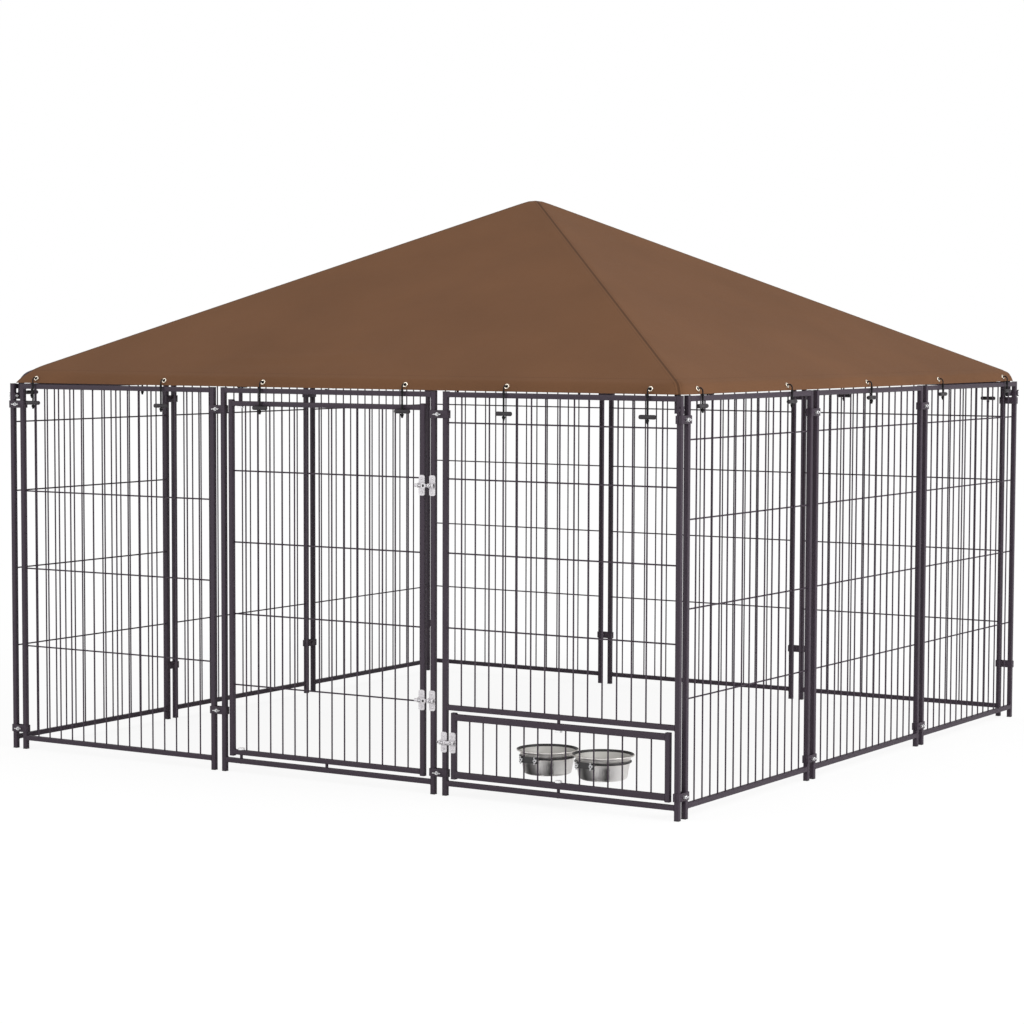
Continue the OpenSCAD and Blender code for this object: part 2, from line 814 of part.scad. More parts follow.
module clamp_outer_halves() {
  color(paint) at_clamps() clamp_half();
}

module clamp_inner_halves() {
  color(paint) at_clamps() translate([0, tube, 0]) mirror([0, 1, 0]) clamp_half();
}

module clamp_bolts() {
  inner_y = tube + seat_fit + clamp_t;
  outer_y = -seat_fit - clamp_t - wing_hub_h - clamp_tip;
  color(zinc) at_clamps() {
    translate([0, outer_y, 0]) along_y() cylinder(d = clamp_bolt_d, h = inner_y - outer_y);
    translate([0, inner_y, 0]) along_y() cylinder(d1 = clamp_head_d, d2 = clamp_head_d/2, h = clamp_head_h);
  }
}

module clamp_wing_nuts() {
  color(zinc) at_clamps() translate([0, -seat_fit - clamp_t, 0])
    wing_nut(clamp_bolt_d, wing_hub_d, wing_hub_h, wing_span);
}

module at_posts() {
  for (k = [0:3])
    for (i = [0:face_panels - 1])
      for (x = [0, panel_w - tube])
        on_panel(k, i) translate([x, 0, 0]) children();
}

module tube_plug(t) {
  plug = tube_bore - 2*plug_fit;
  cube([tube, tube, t]);
  translate([tube_wall + plug_fit, tube_wall + plug_fit, t]) cube([plug, plug, plug_l]);
}

module foot_caps() {
  color(black) at_posts() tube_plug(foot_t);
}

module top_caps() {
  color(black) at_posts() translate([0, 0, panel_h + cap_t]) mirror([0, 0, 1]) tube_plug(cap_t);
}

// Straight hip pole over the corner at the right end of face k
module hip_pole(k) {
  slant = (foot_q - hub_r - hub_gap)/cos(hip_angle);
  color(paint) rotate([0, 0, 90*k - 45]) translate([foot_q, 0, foot_z]) rotate([0, hip_angle - 90, 0])
    difference() {
      cylinder(d = pole_d, h = slant);
      translate([0, 0, -eps]) cylinder(d = pole_bore, h = slant + 2*eps);
    }
}

// Bent foot of a hip pole: leg, bend, spigot in the pole and a lug in the corner gap
module corner_elbow(k) {
  lug_end = sqrt(pow(pole_d/2 - pole_wall, 2) - pow(leg_inset - seat_fit - lug_t/2, 2));
  difference() {
    union() {
      rotate([0, 0, 90*k - 45]) {
        translate([leg_q, 0, leg_z]) cylinder(d = pole_d, h = bend_z - leg_z + weld);
        translate([leg_q - pole_bend_r, 0, bend_z]) rotate([90, 0, 0]) rotate_extrude(angle = bend_turn)
          translate([pole_bend_r, 0]) circle(d = pole_d - 2*swage);
        translate([foot_q, 0, foot_z]) rotate([0, hip_angle - 90, 0]) translate([0, 0, -weld])
          cylinder(d = pole_bore - 2*hole_fit, h = spigot_l + weld);
      }
      on_face(k) translate([half - tube - leg_inset + lug_end, lug_y, leg_z])
        cube([tube + leg_inset - lug_end - lug_edge, lug_t, lug_h]);
    }
    on_face(k) translate([half - tube/2, lug_y - eps, pole_screw_z])
      along_y() cylinder(d = pole_screw_d + 2*hole_fit, h = lug_t + 2*eps);
  }
}

module corner_elbows() {
  color(paint) for (k = [0:3])
    corner_elbow(k);
}

module hip_pole_front_right() {
  hip_pole(0);
}

module hip_pole_back_right() {
  hip_pole(1);
}

module hip_pole_back_left() {
  hip_pole(2);
}

module hip_pole_front_left() {
  hip_pole(3);
}

// Hub under the peak, with a top that follows the slopes and four spigots in the hip poles
module apex_hub() {
  tip_r = 18;
  roof_z = ridge_z - fabric_t - pole_fit - hub_z;
  color(black) {
    translate([0, 0, hub_z]) rotate_extrude($fn = 48)
      polygon([[0, 0], [hub_r, 0], [hub_r, roof_z - slope*hub_r], [tip_r, roof_z - slope*tip_r],
        [0, roof_z - slope*tip_r]]);
    for (k = [0:3])
      rotate([0, 0, 90*k - 45]) translate([0, 0, ridge_z - pole_drop]) rotate([0, 90 + hip_angle, 0])
        translate([0, 0, tip_r]) cylinder(d = pole_bore - 2*hole_fit, h = hub_r + hub_gap + spigot_l - tip_r);
  }
}

module at_pole_screws() {
  for (k = [0:3])
    on_panel(k, face_panels - 1) translate([screw_post_x, 0, pole_screw_z]) children();
}

module pole_screws() {
  head_h = 5;
  head_d = 10;
  tip = 2;
  reach = lug_y + lug_t + pole_nut_h + tip;
  color(zinc) at_pole_screws() {
    along_y() cylinder(d = pole_screw_d, h = reach);
    rotate([0, 90, 0]) wing_head(head_d, head_h, head_d);
  }
}

module pole_nuts() {
  color(zinc) at_pole_screws() translate([0, lug_y + lug_t, 0]) along_y() difference() {
    cylinder(d = pole_nut_d, h = pole_nut_h, $fn = 6);
    translate([0, 0, -eps]) cylinder(d = pole_screw_d + 2*hole_fit, h = pole_nut_h + 2*eps);
  }
}

// Gore of the roof fabric, turned by q quarters from the back
module canopy_gore(q) {
  color(brown) rotate([0, 0, 90*q]) polyhedron(
    points = concat(gore_points(0), gore_points(fabric_t)),
    faces = concat([for (k = [0:ring_n - 2]) each strip(0, k, true)], peak(0, true),
      [for (k = [0:ring_n - 2]) each strip(gore_count, k, false)], peak(gore_count, false), rim(gore_count),
      seam(gore_count, gore_hip(0), true), seam(gore_count, gore_hip(quarter_n), false)));
}

module canopy_back() {
  canopy_gore(0);
}

module canopy_left() {
  canopy_gore(1);
}

module canopy_front() {
  canopy_gore(2);
}

module canopy_right() {
  canopy_gore(3);
}

module at_ties(k) {
  for (x = tie_xs(k))
    on_face(k) translate([x, 0, 0]) children();
}

// Frame on the turned-down hem at the grommet, with z along the fabric's normal and x along the hem
module on_slope() {
  translate([0, half - grommet_a, grommet_z]) rotate([grommet_angle, 0, 0]) children();
}

module canopy_grommets() {
  color(steel) for (k = [0:3])
    at_ties(k) on_slope() translate([0, 0, seat_fit]) difference() {
      cylinder(d = grommet_d, h = grommet_t);
      translate([0, 0, -eps]) cylinder(d = grommet_hole_d, h = grommet_t + 2*eps);
    }
}

// Flat bar of width w between two points
module bar(p, q, w) {
  run = q - p;
  translate(p) rotate(atan2(run[1], run[0])) translate([0, -w/2]) square([norm(run), w]);
}

// Hook of square wire that rises from the grommet, passes over the hem and hangs down
module tie_hook() {
  bead = 0.4;
  normal = [-sin(grommet_angle), cos(grommet_angle)];
  foot = [half - grommet_a, grommet_z] + seat_fit*normal;
  top = foot + hook_rise*normal;
  over = [tie_y, top[1]];
  translate([-hook_d/2, 0, 0]) rotate([90, 0, 90]) linear_extrude(hook_d) {
    bar(foot, top, hook_d);
    bar(top, over, hook_d);
    bar(over, [tie_y, hook_end_z], hook_d);
    for (p = [top, over])
      translate(p) circle(d = hook_d + bead);
  }
}

module tie_hooks() {
  color(steel) for (k = [0:3])
    at_ties(k) tie_hook();
}

module tie_cords() {
  color(black) for (k = [0:3]) {
    low = toggle_z(k) - toggle_d/2 - knot_h - seat_fit;
    at_ties(k) translate([0, tie_y, low]) {
      cylinder(d1 = cord_d/2, d2 = knot_d, h = knot_h);
      cylinder(d = cord_d, h = hook_end_z - low);
    }
  }
}

module tie_toggles() {
  tip_l = 3;
  color(paint) for (k = [0:3])
    at_ties(k) translate([0, tie_y, toggle_z(k)]) difference() {
      union() {
        translate([tip_l - toggle_l/2, 0, 0]) along_x() cylinder(d = toggle_d, h = toggle_l - 2*tip_l);
        for (w = [-90, 90])
          rotate([0, w, 0]) translate([0, 0, toggle_l/2 - tip_l])
            cylinder(d1 = toggle_d, d2 = toggle_d/2, h = tip_l);
      }
      translate([0, 0, -toggle_d]) cylinder(d = cord_d + 2*hole_fit, h = 2*toggle_d);
    }
}

front_panel();
plain_panel(1, 0);  // right_panel_1
plain_panel(1, 1);  // right_panel_2
plain_panel(1, 2);  // right_panel_3
plain_panel(2, 0);  // back_panel_1
plain_panel(2, 1);  // back_panel_2
plain_panel(2, 2);  // back_panel_3
plain_panel(3, 0);  // left_panel_1
plain_panel(3, 1);  // left_panel_2
plain_panel(3, 2);  // left_panel_3
door_frame();
feeder_frame();
feeder_mesh();
door_leaf();
feeder_gate();
pivot_bolts();
door_studs();
upper_latch_carrier();
upper_latch_bolt();
upper_latch_keeper();
lower_latch_carrier();
lower_latch_bolt();
lower_latch_keeper();
feeder_latch_carrier();
feeder_latch_bolt();
feeder_latch_keeper();
door_latch_screws();
post_latch_screws();
gate_latch_screws();
left_bowl_ring();
right_bowl_ring();
left_bowl();
right_bowl();
bowl_clamp_plates();
bowl_wing_nuts();
clamp_outer_halves();
clamp_inner_halves();
clamp_bolts();
clamp_wing_nuts();
foot_caps();
top_caps();
hip_pole_front_right();
hip_pole_back_right();
hip_pole_back_left();
hip_pole_front_left();
corner_elbows();
apex_hub();
pole_screws();
pole_nuts();
canopy_front();
canopy_right();
canopy_back();
canopy_left();
canopy_grommets();
tie_hooks();
tie_cords();
tie_toggles();
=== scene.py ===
# %% [markdown]
# # An outdoor dog kennel run
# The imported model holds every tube, latch and bowl in its true place and size.
# This lesson dresses it: each visible piece is made again with rounded edges, welds and seams,
# then painted with materials that are grown from noise instead of pictures.

# %% Load the frame
import json
from functools import partial
from math import atan, copysign, cos, exp, pi, radians, sin, sqrt
import bmesh
import bpy
from mathutils import Matrix, Vector, noise


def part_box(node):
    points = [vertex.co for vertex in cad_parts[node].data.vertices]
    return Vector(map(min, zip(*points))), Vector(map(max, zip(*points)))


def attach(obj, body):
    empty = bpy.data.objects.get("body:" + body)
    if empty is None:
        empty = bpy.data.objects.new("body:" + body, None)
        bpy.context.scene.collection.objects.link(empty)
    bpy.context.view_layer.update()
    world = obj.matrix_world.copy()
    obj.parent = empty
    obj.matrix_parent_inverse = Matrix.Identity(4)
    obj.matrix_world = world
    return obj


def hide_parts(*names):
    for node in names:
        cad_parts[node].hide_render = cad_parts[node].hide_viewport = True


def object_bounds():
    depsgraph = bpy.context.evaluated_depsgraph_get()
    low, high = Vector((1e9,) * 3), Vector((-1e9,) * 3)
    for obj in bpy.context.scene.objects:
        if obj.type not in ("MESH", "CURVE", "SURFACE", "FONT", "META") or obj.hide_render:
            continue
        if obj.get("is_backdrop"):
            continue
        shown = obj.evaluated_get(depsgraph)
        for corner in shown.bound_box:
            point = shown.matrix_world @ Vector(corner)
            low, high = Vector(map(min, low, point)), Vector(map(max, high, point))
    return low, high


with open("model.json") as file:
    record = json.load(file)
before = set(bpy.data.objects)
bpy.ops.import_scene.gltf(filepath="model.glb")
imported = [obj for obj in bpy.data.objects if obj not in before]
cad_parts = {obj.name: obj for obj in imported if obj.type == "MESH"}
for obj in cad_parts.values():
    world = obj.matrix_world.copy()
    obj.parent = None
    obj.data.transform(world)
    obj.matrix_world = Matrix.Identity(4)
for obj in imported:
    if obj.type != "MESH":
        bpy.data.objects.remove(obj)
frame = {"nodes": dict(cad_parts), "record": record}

move = Matrix.Translation
scene = bpy.context.scene
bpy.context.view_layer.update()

# %% [markdown]
# ## Camera
# The angle, distance and lens come from a fit of all the post feet and rail ends in the photograph.
# A long lens from eight metres away keeps the posts nearly parallel.

# %% Set the camera
AZIMUTH, ELEVATION, ROLL = (radians(d) for d in (32.046, 3.907, 0.174))
EYE = Vector((4.187, -6.811, 1.190))
FOCAL_MM, SENSOR_MM = 96.74, 36

back = Vector((sin(AZIMUTH)*cos(ELEVATION), -cos(AZIMUTH)*cos(ELEVATION), sin(ELEVATION)))
level = Vector((cos(AZIMUTH), sin(AZIMUTH), 0))
upward = back.cross(level)
right = level*cos(ROLL) + upward*sin(ROLL)
upward = upward*cos(ROLL) - level*sin(ROLL)


def new_object(name, data):
    made = bpy.data.objects.new(name, data)
    scene.collection.objects.link(made)
    return made


lens = bpy.data.cameras.new("camera")
lens.lens = FOCAL_MM
lens.sensor_width = SENSOR_MM
camera = new_object("camera", lens)
camera.matrix_world = move(EYE) @ Matrix((right, upward, back)).transposed().to_4x4()
scene.camera = camera
print("camera", round(EYE.length, 3), "m from the middle of the run")

# %% [markdown]
# ## Measures
# Everything below is set out from a few sizes read off the frame, so a change of the model carries through.
# Face 0 is the front with the door, and the other faces are the front turned by quarter turns.
# In a face's own frame x runs left to right, y runs inwards from the outer plane and z is up.

# %% Read the sizes off the frame
front_low, front_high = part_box("front_panel")
HALF = -front_low.y
PANEL_W = front_high.x - front_low.x
PANEL_H = front_high.z
TUBE = front_high.y - front_low.y
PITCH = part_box("door_frame")[0].x - front_low.x
POST_GAP = PITCH - PANEL_W
PANEL_X = [front_low.x + i*PITCH for i in range(3)]
FOOT = front_low.z
MID = TUBE/2
print(f"panels {PANEL_W:.3f} by {PANEL_H:.3f}, gap {POST_GAP:.3f}, tube {TUBE:.3f}")


def on_face(k, x=0.0, y=0.0, z=0.0):
    return Matrix.Rotation(radians(90*k), 4, "Z") @ move((x, y - HALF, z))


# %% [markdown]
# ## Tools for shapes
# A piece is gathered in one bmesh from a few kinds of stock, as a metal shop would.
# The straight kinds are square bar with rounded edges, round rod and beads of weld.

# %% Bar, rod and bead
def round_edges(bm, edges, size, steps):
    bmesh.ops.bevel(bm, geom=edges, offset=size, segments=steps, profile=0.5, affect="EDGES", material=-1)


def block(bm, low, high, edge=0.0, steps=2, axes="xyz"):
    low, high = Vector(low), Vector(high)
    place = move((low + high)/2) @ Matrix.Diagonal((*(high - low), 1))
    verts = bmesh.ops.create_cube(bm, size=1.0, matrix=place)["verts"]
    if edge:
        runs = {e: e.verts[0].co - e.verts[1].co for v in verts for e in v.link_edges}
        chosen = [e for e, d in runs.items() if "xyz"[max(range(3), key=lambda i: abs(d[i]))] in axes]
        round_edges(bm, chosen, edge, steps)


def rod(bm, start, end, d, sides=12):
    start, end = Vector(start), Vector(end)
    turn = (end - start).to_track_quat("Z", "Y").to_matrix().to_4x4()
    bmesh.ops.create_cone(bm, cap_ends=True, segments=sides, radius1=d/2, radius2=d/2,
                          depth=(end - start).length, matrix=move((start + end)/2) @ turn)


def bead(bm, at, d, flat=1.0, detail=1):
    place = move(at) @ Matrix.Diagonal((1, flat, 1, 1))
    bmesh.ops.create_icosphere(bm, subdivisions=detail, radius=d/2, matrix=place)


# %% [markdown]
# ### Bent, turned and cut shapes
# Wire is swept along its points, open or as a closed ring. Round pieces are turned from half a section, and
# flat blanks are cut to an outline, often with arcs in it.

# %% Sweep, lathe and blank
MERGE = 1e-6
RIM_ANGLE = 1.0


def arc(x, y, r, start, turn, steps):
    return [(x + r*cos(a), y + r*sin(a)) for a in (start + turn*i/steps for i in range(steps + 1))]


def sweep(points, d, sides=10, closed=False):
    bm = bmesh.new()
    points = [Vector(p) for p in points]
    before, after = (points[-1], points[0]) if closed else (points[0], points[-1])
    line = [before, *points, after]
    side, first, last = None, None, None
    for i, p in enumerate(points):
        run = (line[i + 2] - line[i]).normalized()
        side = (run.orthogonal() if side is None else side - run*side.dot(run)).normalized()
        place = move(p) @ Matrix((side, run.cross(side), run)).transposed().to_4x4()
        capped = not closed and i in (0, len(points) - 1)
        ring = bmesh.ops.create_circle(bm, cap_ends=capped, segments=sides, radius=d/2, matrix=place)["verts"]
        edges = [e for e in {e for v in ring for e in v.link_edges} if all(v in ring for v in e.verts)]
        if last:
            bmesh.ops.bridge_loops(bm, edges=last + edges)
        first, last = first or edges, edges
    if closed:
        bmesh.ops.bridge_loops(bm, edges=last + first)
    return bm


def lathe(profile, place=Matrix(), steps=32, closed=False, bm=None):
    bm = bm or bmesh.new()
    old = set(bm.verts)
    verts = [bm.verts.new((r, 0, z)) for r, z in profile]
    pairs = list(zip(verts, verts[1:])) + ([(verts[-1], verts[0])] if closed else [])
    edges = [bm.edges.new(p) for p in pairs]
    bmesh.ops.spin(bm, geom=verts + edges, cent=(0, 0, 0), axis=(0, 0, 1), angle=2*pi, steps=steps,
                   use_merge=True)
    mine = [v for v in bm.verts if v not in old]
    bmesh.ops.remove_doubles(bm, verts=mine, dist=MERGE)
    bmesh.ops.transform(bm, matrix=place, verts=[v for v in mine if v.is_valid])
    return bm


def blank(outline, thick, edge, place):
    bm = bmesh.new()
    face = bm.faces.new([bm.verts.new((x, y, 0)) for x, y in outline])
    made = bmesh.ops.extrude_face_region(bm, geom=[face])["geom"]
    top = [g for g in made if isinstance(g, bmesh.types.BMVert)]
    bmesh.ops.translate(bm, vec=(0, 0, thick), verts=top)
    verts = list(set(face.verts) | set(top))
    bmesh.ops.transform(bm, matrix=place, verts=verts)
    if edge:
        rims = {e for v in verts for e in v.link_edges if e.calc_face_angle(0) > RIM_ANGLE}
        round_edges(bm, list(rims), edge, 2)
    return bm


# %% [markdown]
# ### Stamping and finishing
# A template is made once and stamped wherever it belongs, turned by quarter turns as needed.
# A finished piece gets its normals, its material and its place in the frame. A slot name is also worked out,
# like the material's if no other is given, but nothing uses it.

# %% Stamp and piece
along_x = Matrix.Rotation(pi/2, 4, "Y")
stand = Matrix.Rotation(pi/2, 4, "X")
facing = Matrix.Rotation(-pi/2, 4, "X")


def stamp(template, places, bm=None):
    bm = bm or bmesh.new()
    mesh = bpy.data.meshes.new("stamp")
    for place in places:
        template.to_mesh(mesh)
        mesh.transform(place)
        if place.determinant() < 0:
            mesh.flip_normals()
        bm.from_mesh(mesh)
    bpy.data.meshes.remove(mesh)
    return bm


def piece(name, bm, material, nodes=(), body="kennel", slot=None, sharp=40):
    bmesh.ops.recalc_face_normals(bm, faces=bm.faces)
    mesh = bpy.data.meshes.new(name)
    bm.to_mesh(mesh)
    bm.free()
    mesh.materials.append(material)
    mesh.shade_smooth()
    mesh.set_sharp_from_angle(angle=radians(sharp))
    slot = slot or material.name.partition(".")[0]
    made = new_object(name, mesh)
    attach(made, body)
    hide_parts(*nodes)
    return made


# %% [markdown]
# ## Tools for materials
# Each look is a small web of shader nodes that works in the piece's own coordinates, so it needs no picture.
# Effects such as grain, weave and stitching are kept as groups. A node stands for its first output.

# %% Helpers for shader nodes
def wire_in(socket, value):
    value = getattr(value, "outputs", [value])[0]
    if isinstance(value, bpy.types.NodeSocket):
        socket.id_data.links.new(value, socket)
    else:
        socket.default_value = value


def set_sockets(node, values):
    for name, value in values.items():
        wire_in(node.inputs[name.replace("_", " ")], value)


def add(tree, kind, settings=(), **inputs):
    made = tree.nodes.new("ShaderNode" + kind)
    for key, value in dict(settings).items():
        setattr(made, key, value)
    set_sockets(made, inputs)
    return made


def calc(operation, *values):
    tree = next(v.id_data for v in values if hasattr(v, "id_data"))
    made = add(tree, "Math", {"operation": operation})
    for socket, value in zip(made.inputs, values):
        wire_in(socket, value)
    return made.outputs[0]


plus, minus, times = (partial(calc, operation) for operation in ("ADD", "SUBTRACT", "MULTIPLY"))


def new_group(name, inputs, outputs):
    tree = bpy.data.node_groups.new(name, "ShaderNodeTree")
    for label, kind, value in inputs:
        socket = tree.interface.new_socket(label, in_out="INPUT", socket_type="NodeSocket" + kind)
        socket.default_value = value
    for label, kind in outputs:
        tree.interface.new_socket(label, in_out="OUTPUT", socket_type="NodeSocket" + kind)
    return tree, tree.nodes.new("NodeGroupInput"), tree.nodes.new("NodeGroupOutput")


def use_group(tree, group, **inputs):
    return add(tree, "Group", {"node_tree": group}, **inputs)


def new_material(name):
    material = bpy.data.materials.new(name)
    material.use_nodes = True
    return material, material.node_tree, material.node_tree.nodes["Principled BSDF"]


# %% [markdown]
# ### Grain
# No coat is perfectly even. Powder paint has an orange-peel ripple of about a millimetre, plating has a faint
# cloud, and moulded plastic has a fine spark-eroded grain. One group with two sizes of noise serves them all.

# %% The grain group
grain_inputs = [("Color", "Color", (1, 1, 1, 1)), ("Scale", "Float", 900.0), ("Cloud", "Float", 0.1),
                ("Roughness", "Float", 0.4), ("Spread", "Float", 0.1)]
grain_outputs = [("Color", "Color"), ("Roughness", "Float"), ("Height", "Float")]
grain, into, out = new_group("grain", grain_inputs, grain_outputs)
where = add(grain, "TexCoord").outputs["Object"]
fine = add(grain, "TexNoise", Vector=where, Scale=into.outputs["Scale"], Detail=2.0)
broad = add(grain, "TexNoise", Vector=where, Scale=7.0, Detail=3.0)
swing = minus(broad, 0.5)
light = plus(times(swing, into.outputs["Cloud"]), 1.0)
tinted = add(grain, "VectorMath", {"operation": "SCALE"}, Scale=light)
wire_in(tinted.inputs[0], into.outputs["Color"])
rub = times(plus(swing, minus(fine, 0.5)), into.outputs["Spread"])
rough = plus(rub, into.outputs["Roughness"])
set_sockets(out, {"Color": tinted, "Roughness": rough, "Height": fine})
print("grain group with", len(grain.nodes), "nodes")


def coat(name, color, roughness, scale, bump, cloud=0.1, spread=0.1, metallic=0.0, shine=0.5):
    material, tree, shader = new_material(name)
    look = use_group(tree, grain, Color=(*color, 1), Scale=scale, Cloud=cloud, Roughness=roughness,
                     Spread=spread)
    relief = add(tree, "Bump", Strength=bump, Distance=0.0005, Height=look.outputs["Height"])
    set_sockets(shader, {"Base Color": look.outputs["Color"], "Roughness": look.outputs["Roughness"],
                         "Metallic": metallic, "Specular IOR Level": shine, "Normal": relief})
    return material


# %% [markdown]
# ### Coats
# The frame's paint is a dark brown grey with little shine. Zinc is pale and half dull, bare steel is
# brighter, and the plastics and the coated hooks are nearly black.

# %% Coats for the hard pieces
frame_paint = coat("frame_paint", (0.038, 0.027, 0.039), 0.50, 700.0, 0.25, cloud=0.25, shine=0.25)
holder_paint = coat("holder_paint", (0.014, 0.013, 0.014), 0.38, 900.0, 0.15)
cap_plastic = coat("cap_plastic", (0.016, 0.014, 0.016), 0.55, 1800.0, 0.2)
toggle_plastic = coat("toggle_plastic", (0.024, 0.021, 0.024), 0.48, 1800.0, 0.2, shine=0.3)
latch_zinc = coat("latch_zinc", (0.62, 0.60, 0.62), 0.50, 1200.0, 0.08, cloud=0.15, metallic=0.6)
fastener_steel = coat("fastener_steel", (0.66, 0.66, 0.67), 0.36, 1200.0, 0.08, cloud=0.2, metallic=1.0)
# Pale zinc brightened to near-white and made barely metallic: partly its own colour, partly a painted
# highlight.
head_zinc_highlight = coat("head_zinc_highlight", (0.86, 0.86, 0.87), 0.55, 1200.0, 0.05, cloud=0.05, metallic=0.1)
eyelet_steel = coat("eyelet_steel", (0.82, 0.74, 0.62), 0.30, 1200.0, 0.05, metallic=1.0)
hook_coat = coat("hook_coat", (0.006, 0.005, 0.006), 0.50, 1500.0, 0.1, shine=0.15)
print("coats share", grain.users, "uses of the grain group")

# %% [markdown]
# ## Roof ties
# Elastic ties hold the fabric down: an eyelet near the hem, a hook through it, and a length of elastic with a
# toggle to grip. At the front and the back the toggles hang lower.

# %% Where the ties hang
HEM = -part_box("canopy_front")[0].y
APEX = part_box("canopy_front")[1].z
PEAK_CUT = 0.007
RIDGE = APEX + PEAK_CUT
HEM_RISE, SOLID_DROOP = 0.0055, 0.0175
EAVE = PANEL_H + HEM_RISE + SOLID_DROOP
SLOPE = (RIDGE - EAVE)/HEM
DROOP = 0.019
DROOP_ZONE = 0.016
FRONT_TIES = [(0.054, 0.173), (0.135, 0.095), (0.185, 0.089)]
TIE_END = 0.096
TIE_Y = -0.006
HOOK_END = PANEL_H - 0.001
CORD_D = 0.005
TOGGLE_D = 0.011
KNOT_H = 0.011
TOGGLE_DROPS = [0.051, 0.025]
toggle_heights = 2*[PANEL_H - drop for drop in TOGGLE_DROPS]

tie_places = [(0, x) for i, (a, b) in enumerate(FRONT_TIES)
              for x in (PANEL_X[i] + a, PANEL_X[i] + PANEL_W - b)]
tie_places += [(k, (HALF - TIE_END)*(i/2 - 1)) for k in (1, 2, 3) for i in range(5)]
print(len(tie_places), "ties")

# %% [markdown]
# ### Elastic cord
# Shock cord is a rubber core in a braided sleeve. The braid is drawn as two sets of slanted ribs that cross.

# %% Braided sleeve
RIB_SLANT = 0.9
tie_elastic, tree, shader = new_material("tie_elastic")
where = add(tree, "TexCoord").outputs["Object"]
ribs = []
for slant in (RIB_SLANT, -RIB_SLANT):
    turned = add(tree, "Mapping", {"vector_type": "POINT"}, Vector=where, Rotation=(slant, slant, 0))
    wave = add(tree, "TexWave", Vector=turned, Scale=260.0, Distortion=0.4)
    ribs.append(wave.outputs["Fac"])
braid = calc("MAXIMUM", *ribs)
shade = add(tree, "ValToRGB", Fac=braid)
shade.color_ramp.elements[0].color = (0.003, 0.003, 0.003, 1)
shade.color_ramp.elements[1].color = (0.010, 0.009, 0.010, 1)
relief = add(tree, "Bump", Strength=0.5, Distance=0.0004, Height=braid)
set_sockets(shader, {"Base Color": shade, "Normal": relief, "Roughness": 0.75, "Specular IOR Level": 0.2})
print("braid of", len(ribs), "sets of ribs")

# %% [markdown]
# ### Hanging cords
# Each cord is drawn taut, straight down from the end of its hook to the end of the knot under its toggle.

# %% Hang the cords
CORD_STEPS = 6
for n, (k, x) in enumerate(tie_places):
    low = toggle_heights[k] - TOGGLE_D/2 - KNOT_H
    points = [on_face(k, x, TIE_Y, HOOK_END + (low - HOOK_END)*i/CORD_STEPS).translation
              for i in range(CORD_STEPS + 1)]
    line = bpy.data.curves.new(f"tie_cord_{n + 1}", "CURVE")
    line.dimensions = "3D"
    line.bevel_depth = CORD_D/2
    line.bevel_resolution = 3
    line.use_fill_caps = True
    spline = line.splines.new("POLY")
    spline.points.add(len(points) - 1)
    for point, p in zip(spline.points, points):
        point.co = (*p, 1)
    line.materials.append(tie_elastic)
    cord = new_object(line.name, line)
    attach(cord, "kennel")
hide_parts("tie_cords")

# %% [markdown]
# ### Knot, toggle and hook
# A knot under the toggle keeps it on. The toggle is a small turned barrel, and the hook is coated wire bent
# over the hem, with a plug in the eyelet and a ferrule that grips the cord.

# %% Knots, toggles and hooks
knot = lathe([(0, -KNOT_H), (0.0014, -0.0108), (0.0030, -0.0080), (0.0042, -0.0045), (0.0046, -0.0022),
              (0.0036, -0.0005), (0, -0.0004)], steps=14)
end = [(0, 0.023), (0.0034, 0.0228), (0.0048, 0.0218), (0.0055, 0.0200), (0.0055, 0.0060), (0.0050, 0.0050)]
toggle = lathe([(r, -z) for r, z in end] + end[::-1], along_x, 20)

EYELET_IN = 0.005
share = 1 - EYELET_IN/DROOP_ZONE
TILT = atan(SLOPE + 2*DROOP*share/DROOP_ZONE)
eyelet_at = Vector((0, HALF - HEM + EYELET_IN, RIDGE - SLOPE*(HEM - EYELET_IN) - DROOP*share**2))
normal = Vector((0, -sin(TILT), cos(TILT)))

HOOK_WIRE, PLUG_D, FERRULE_D = 0.0036, 0.0078, 0.0066
over = Vector((0, TIE_Y, eyelet_at.z - 0.002))
bow = [eyelet_at - normal*0.002,
       eyelet_at + normal*0.0025,
       eyelet_at + normal*0.0050 + Vector((0, -0.0015, -0.0004)),
       eyelet_at.lerp(over, 0.62) + Vector((0, 0, 0.0034)),
       over + Vector((0, 0.0022, 0.0012)),
       over + Vector((0, 0.0004, -0.0016)),
       over + Vector((0, 0, -0.006)),
       Vector((0, TIE_Y, HOOK_END - 0.0005))]
hook = sweep(bow, HOOK_WIRE)
rod(hook, eyelet_at - normal*0.0012, eyelet_at + normal*0.0008, PLUG_D, 16)
rod(hook, (0, TIE_Y, HOOK_END - 0.0030), (0, TIE_Y, HOOK_END + 0.0056), FERRULE_D, 14)

hook_places = [on_face(k, x) for k, x in tie_places]
toggle_places = [on_face(k, x, TIE_Y, toggle_heights[k]) for k, x in tie_places]
knot_places = [on_face(k, x, TIE_Y, toggle_heights[k] - TOGGLE_D/2) for k, x in tie_places]
piece("tie_knots", stamp(knot, knot_places), tie_elastic)
piece("tie_toggle_barrels", stamp(toggle, toggle_places), toggle_plastic, ["tie_toggles"])
piece("tie_wire_hooks", stamp(hook, hook_places), hook_coat, ["tie_hooks"], slot="holder_paint")
print("eyelets tilt by", round(TILT*180/pi, 1), "degrees")

# %% [markdown]
# ### Eyelets
# Each hole in the hem is lined with a rolled metal ring, pressed from both sides of the cloth.

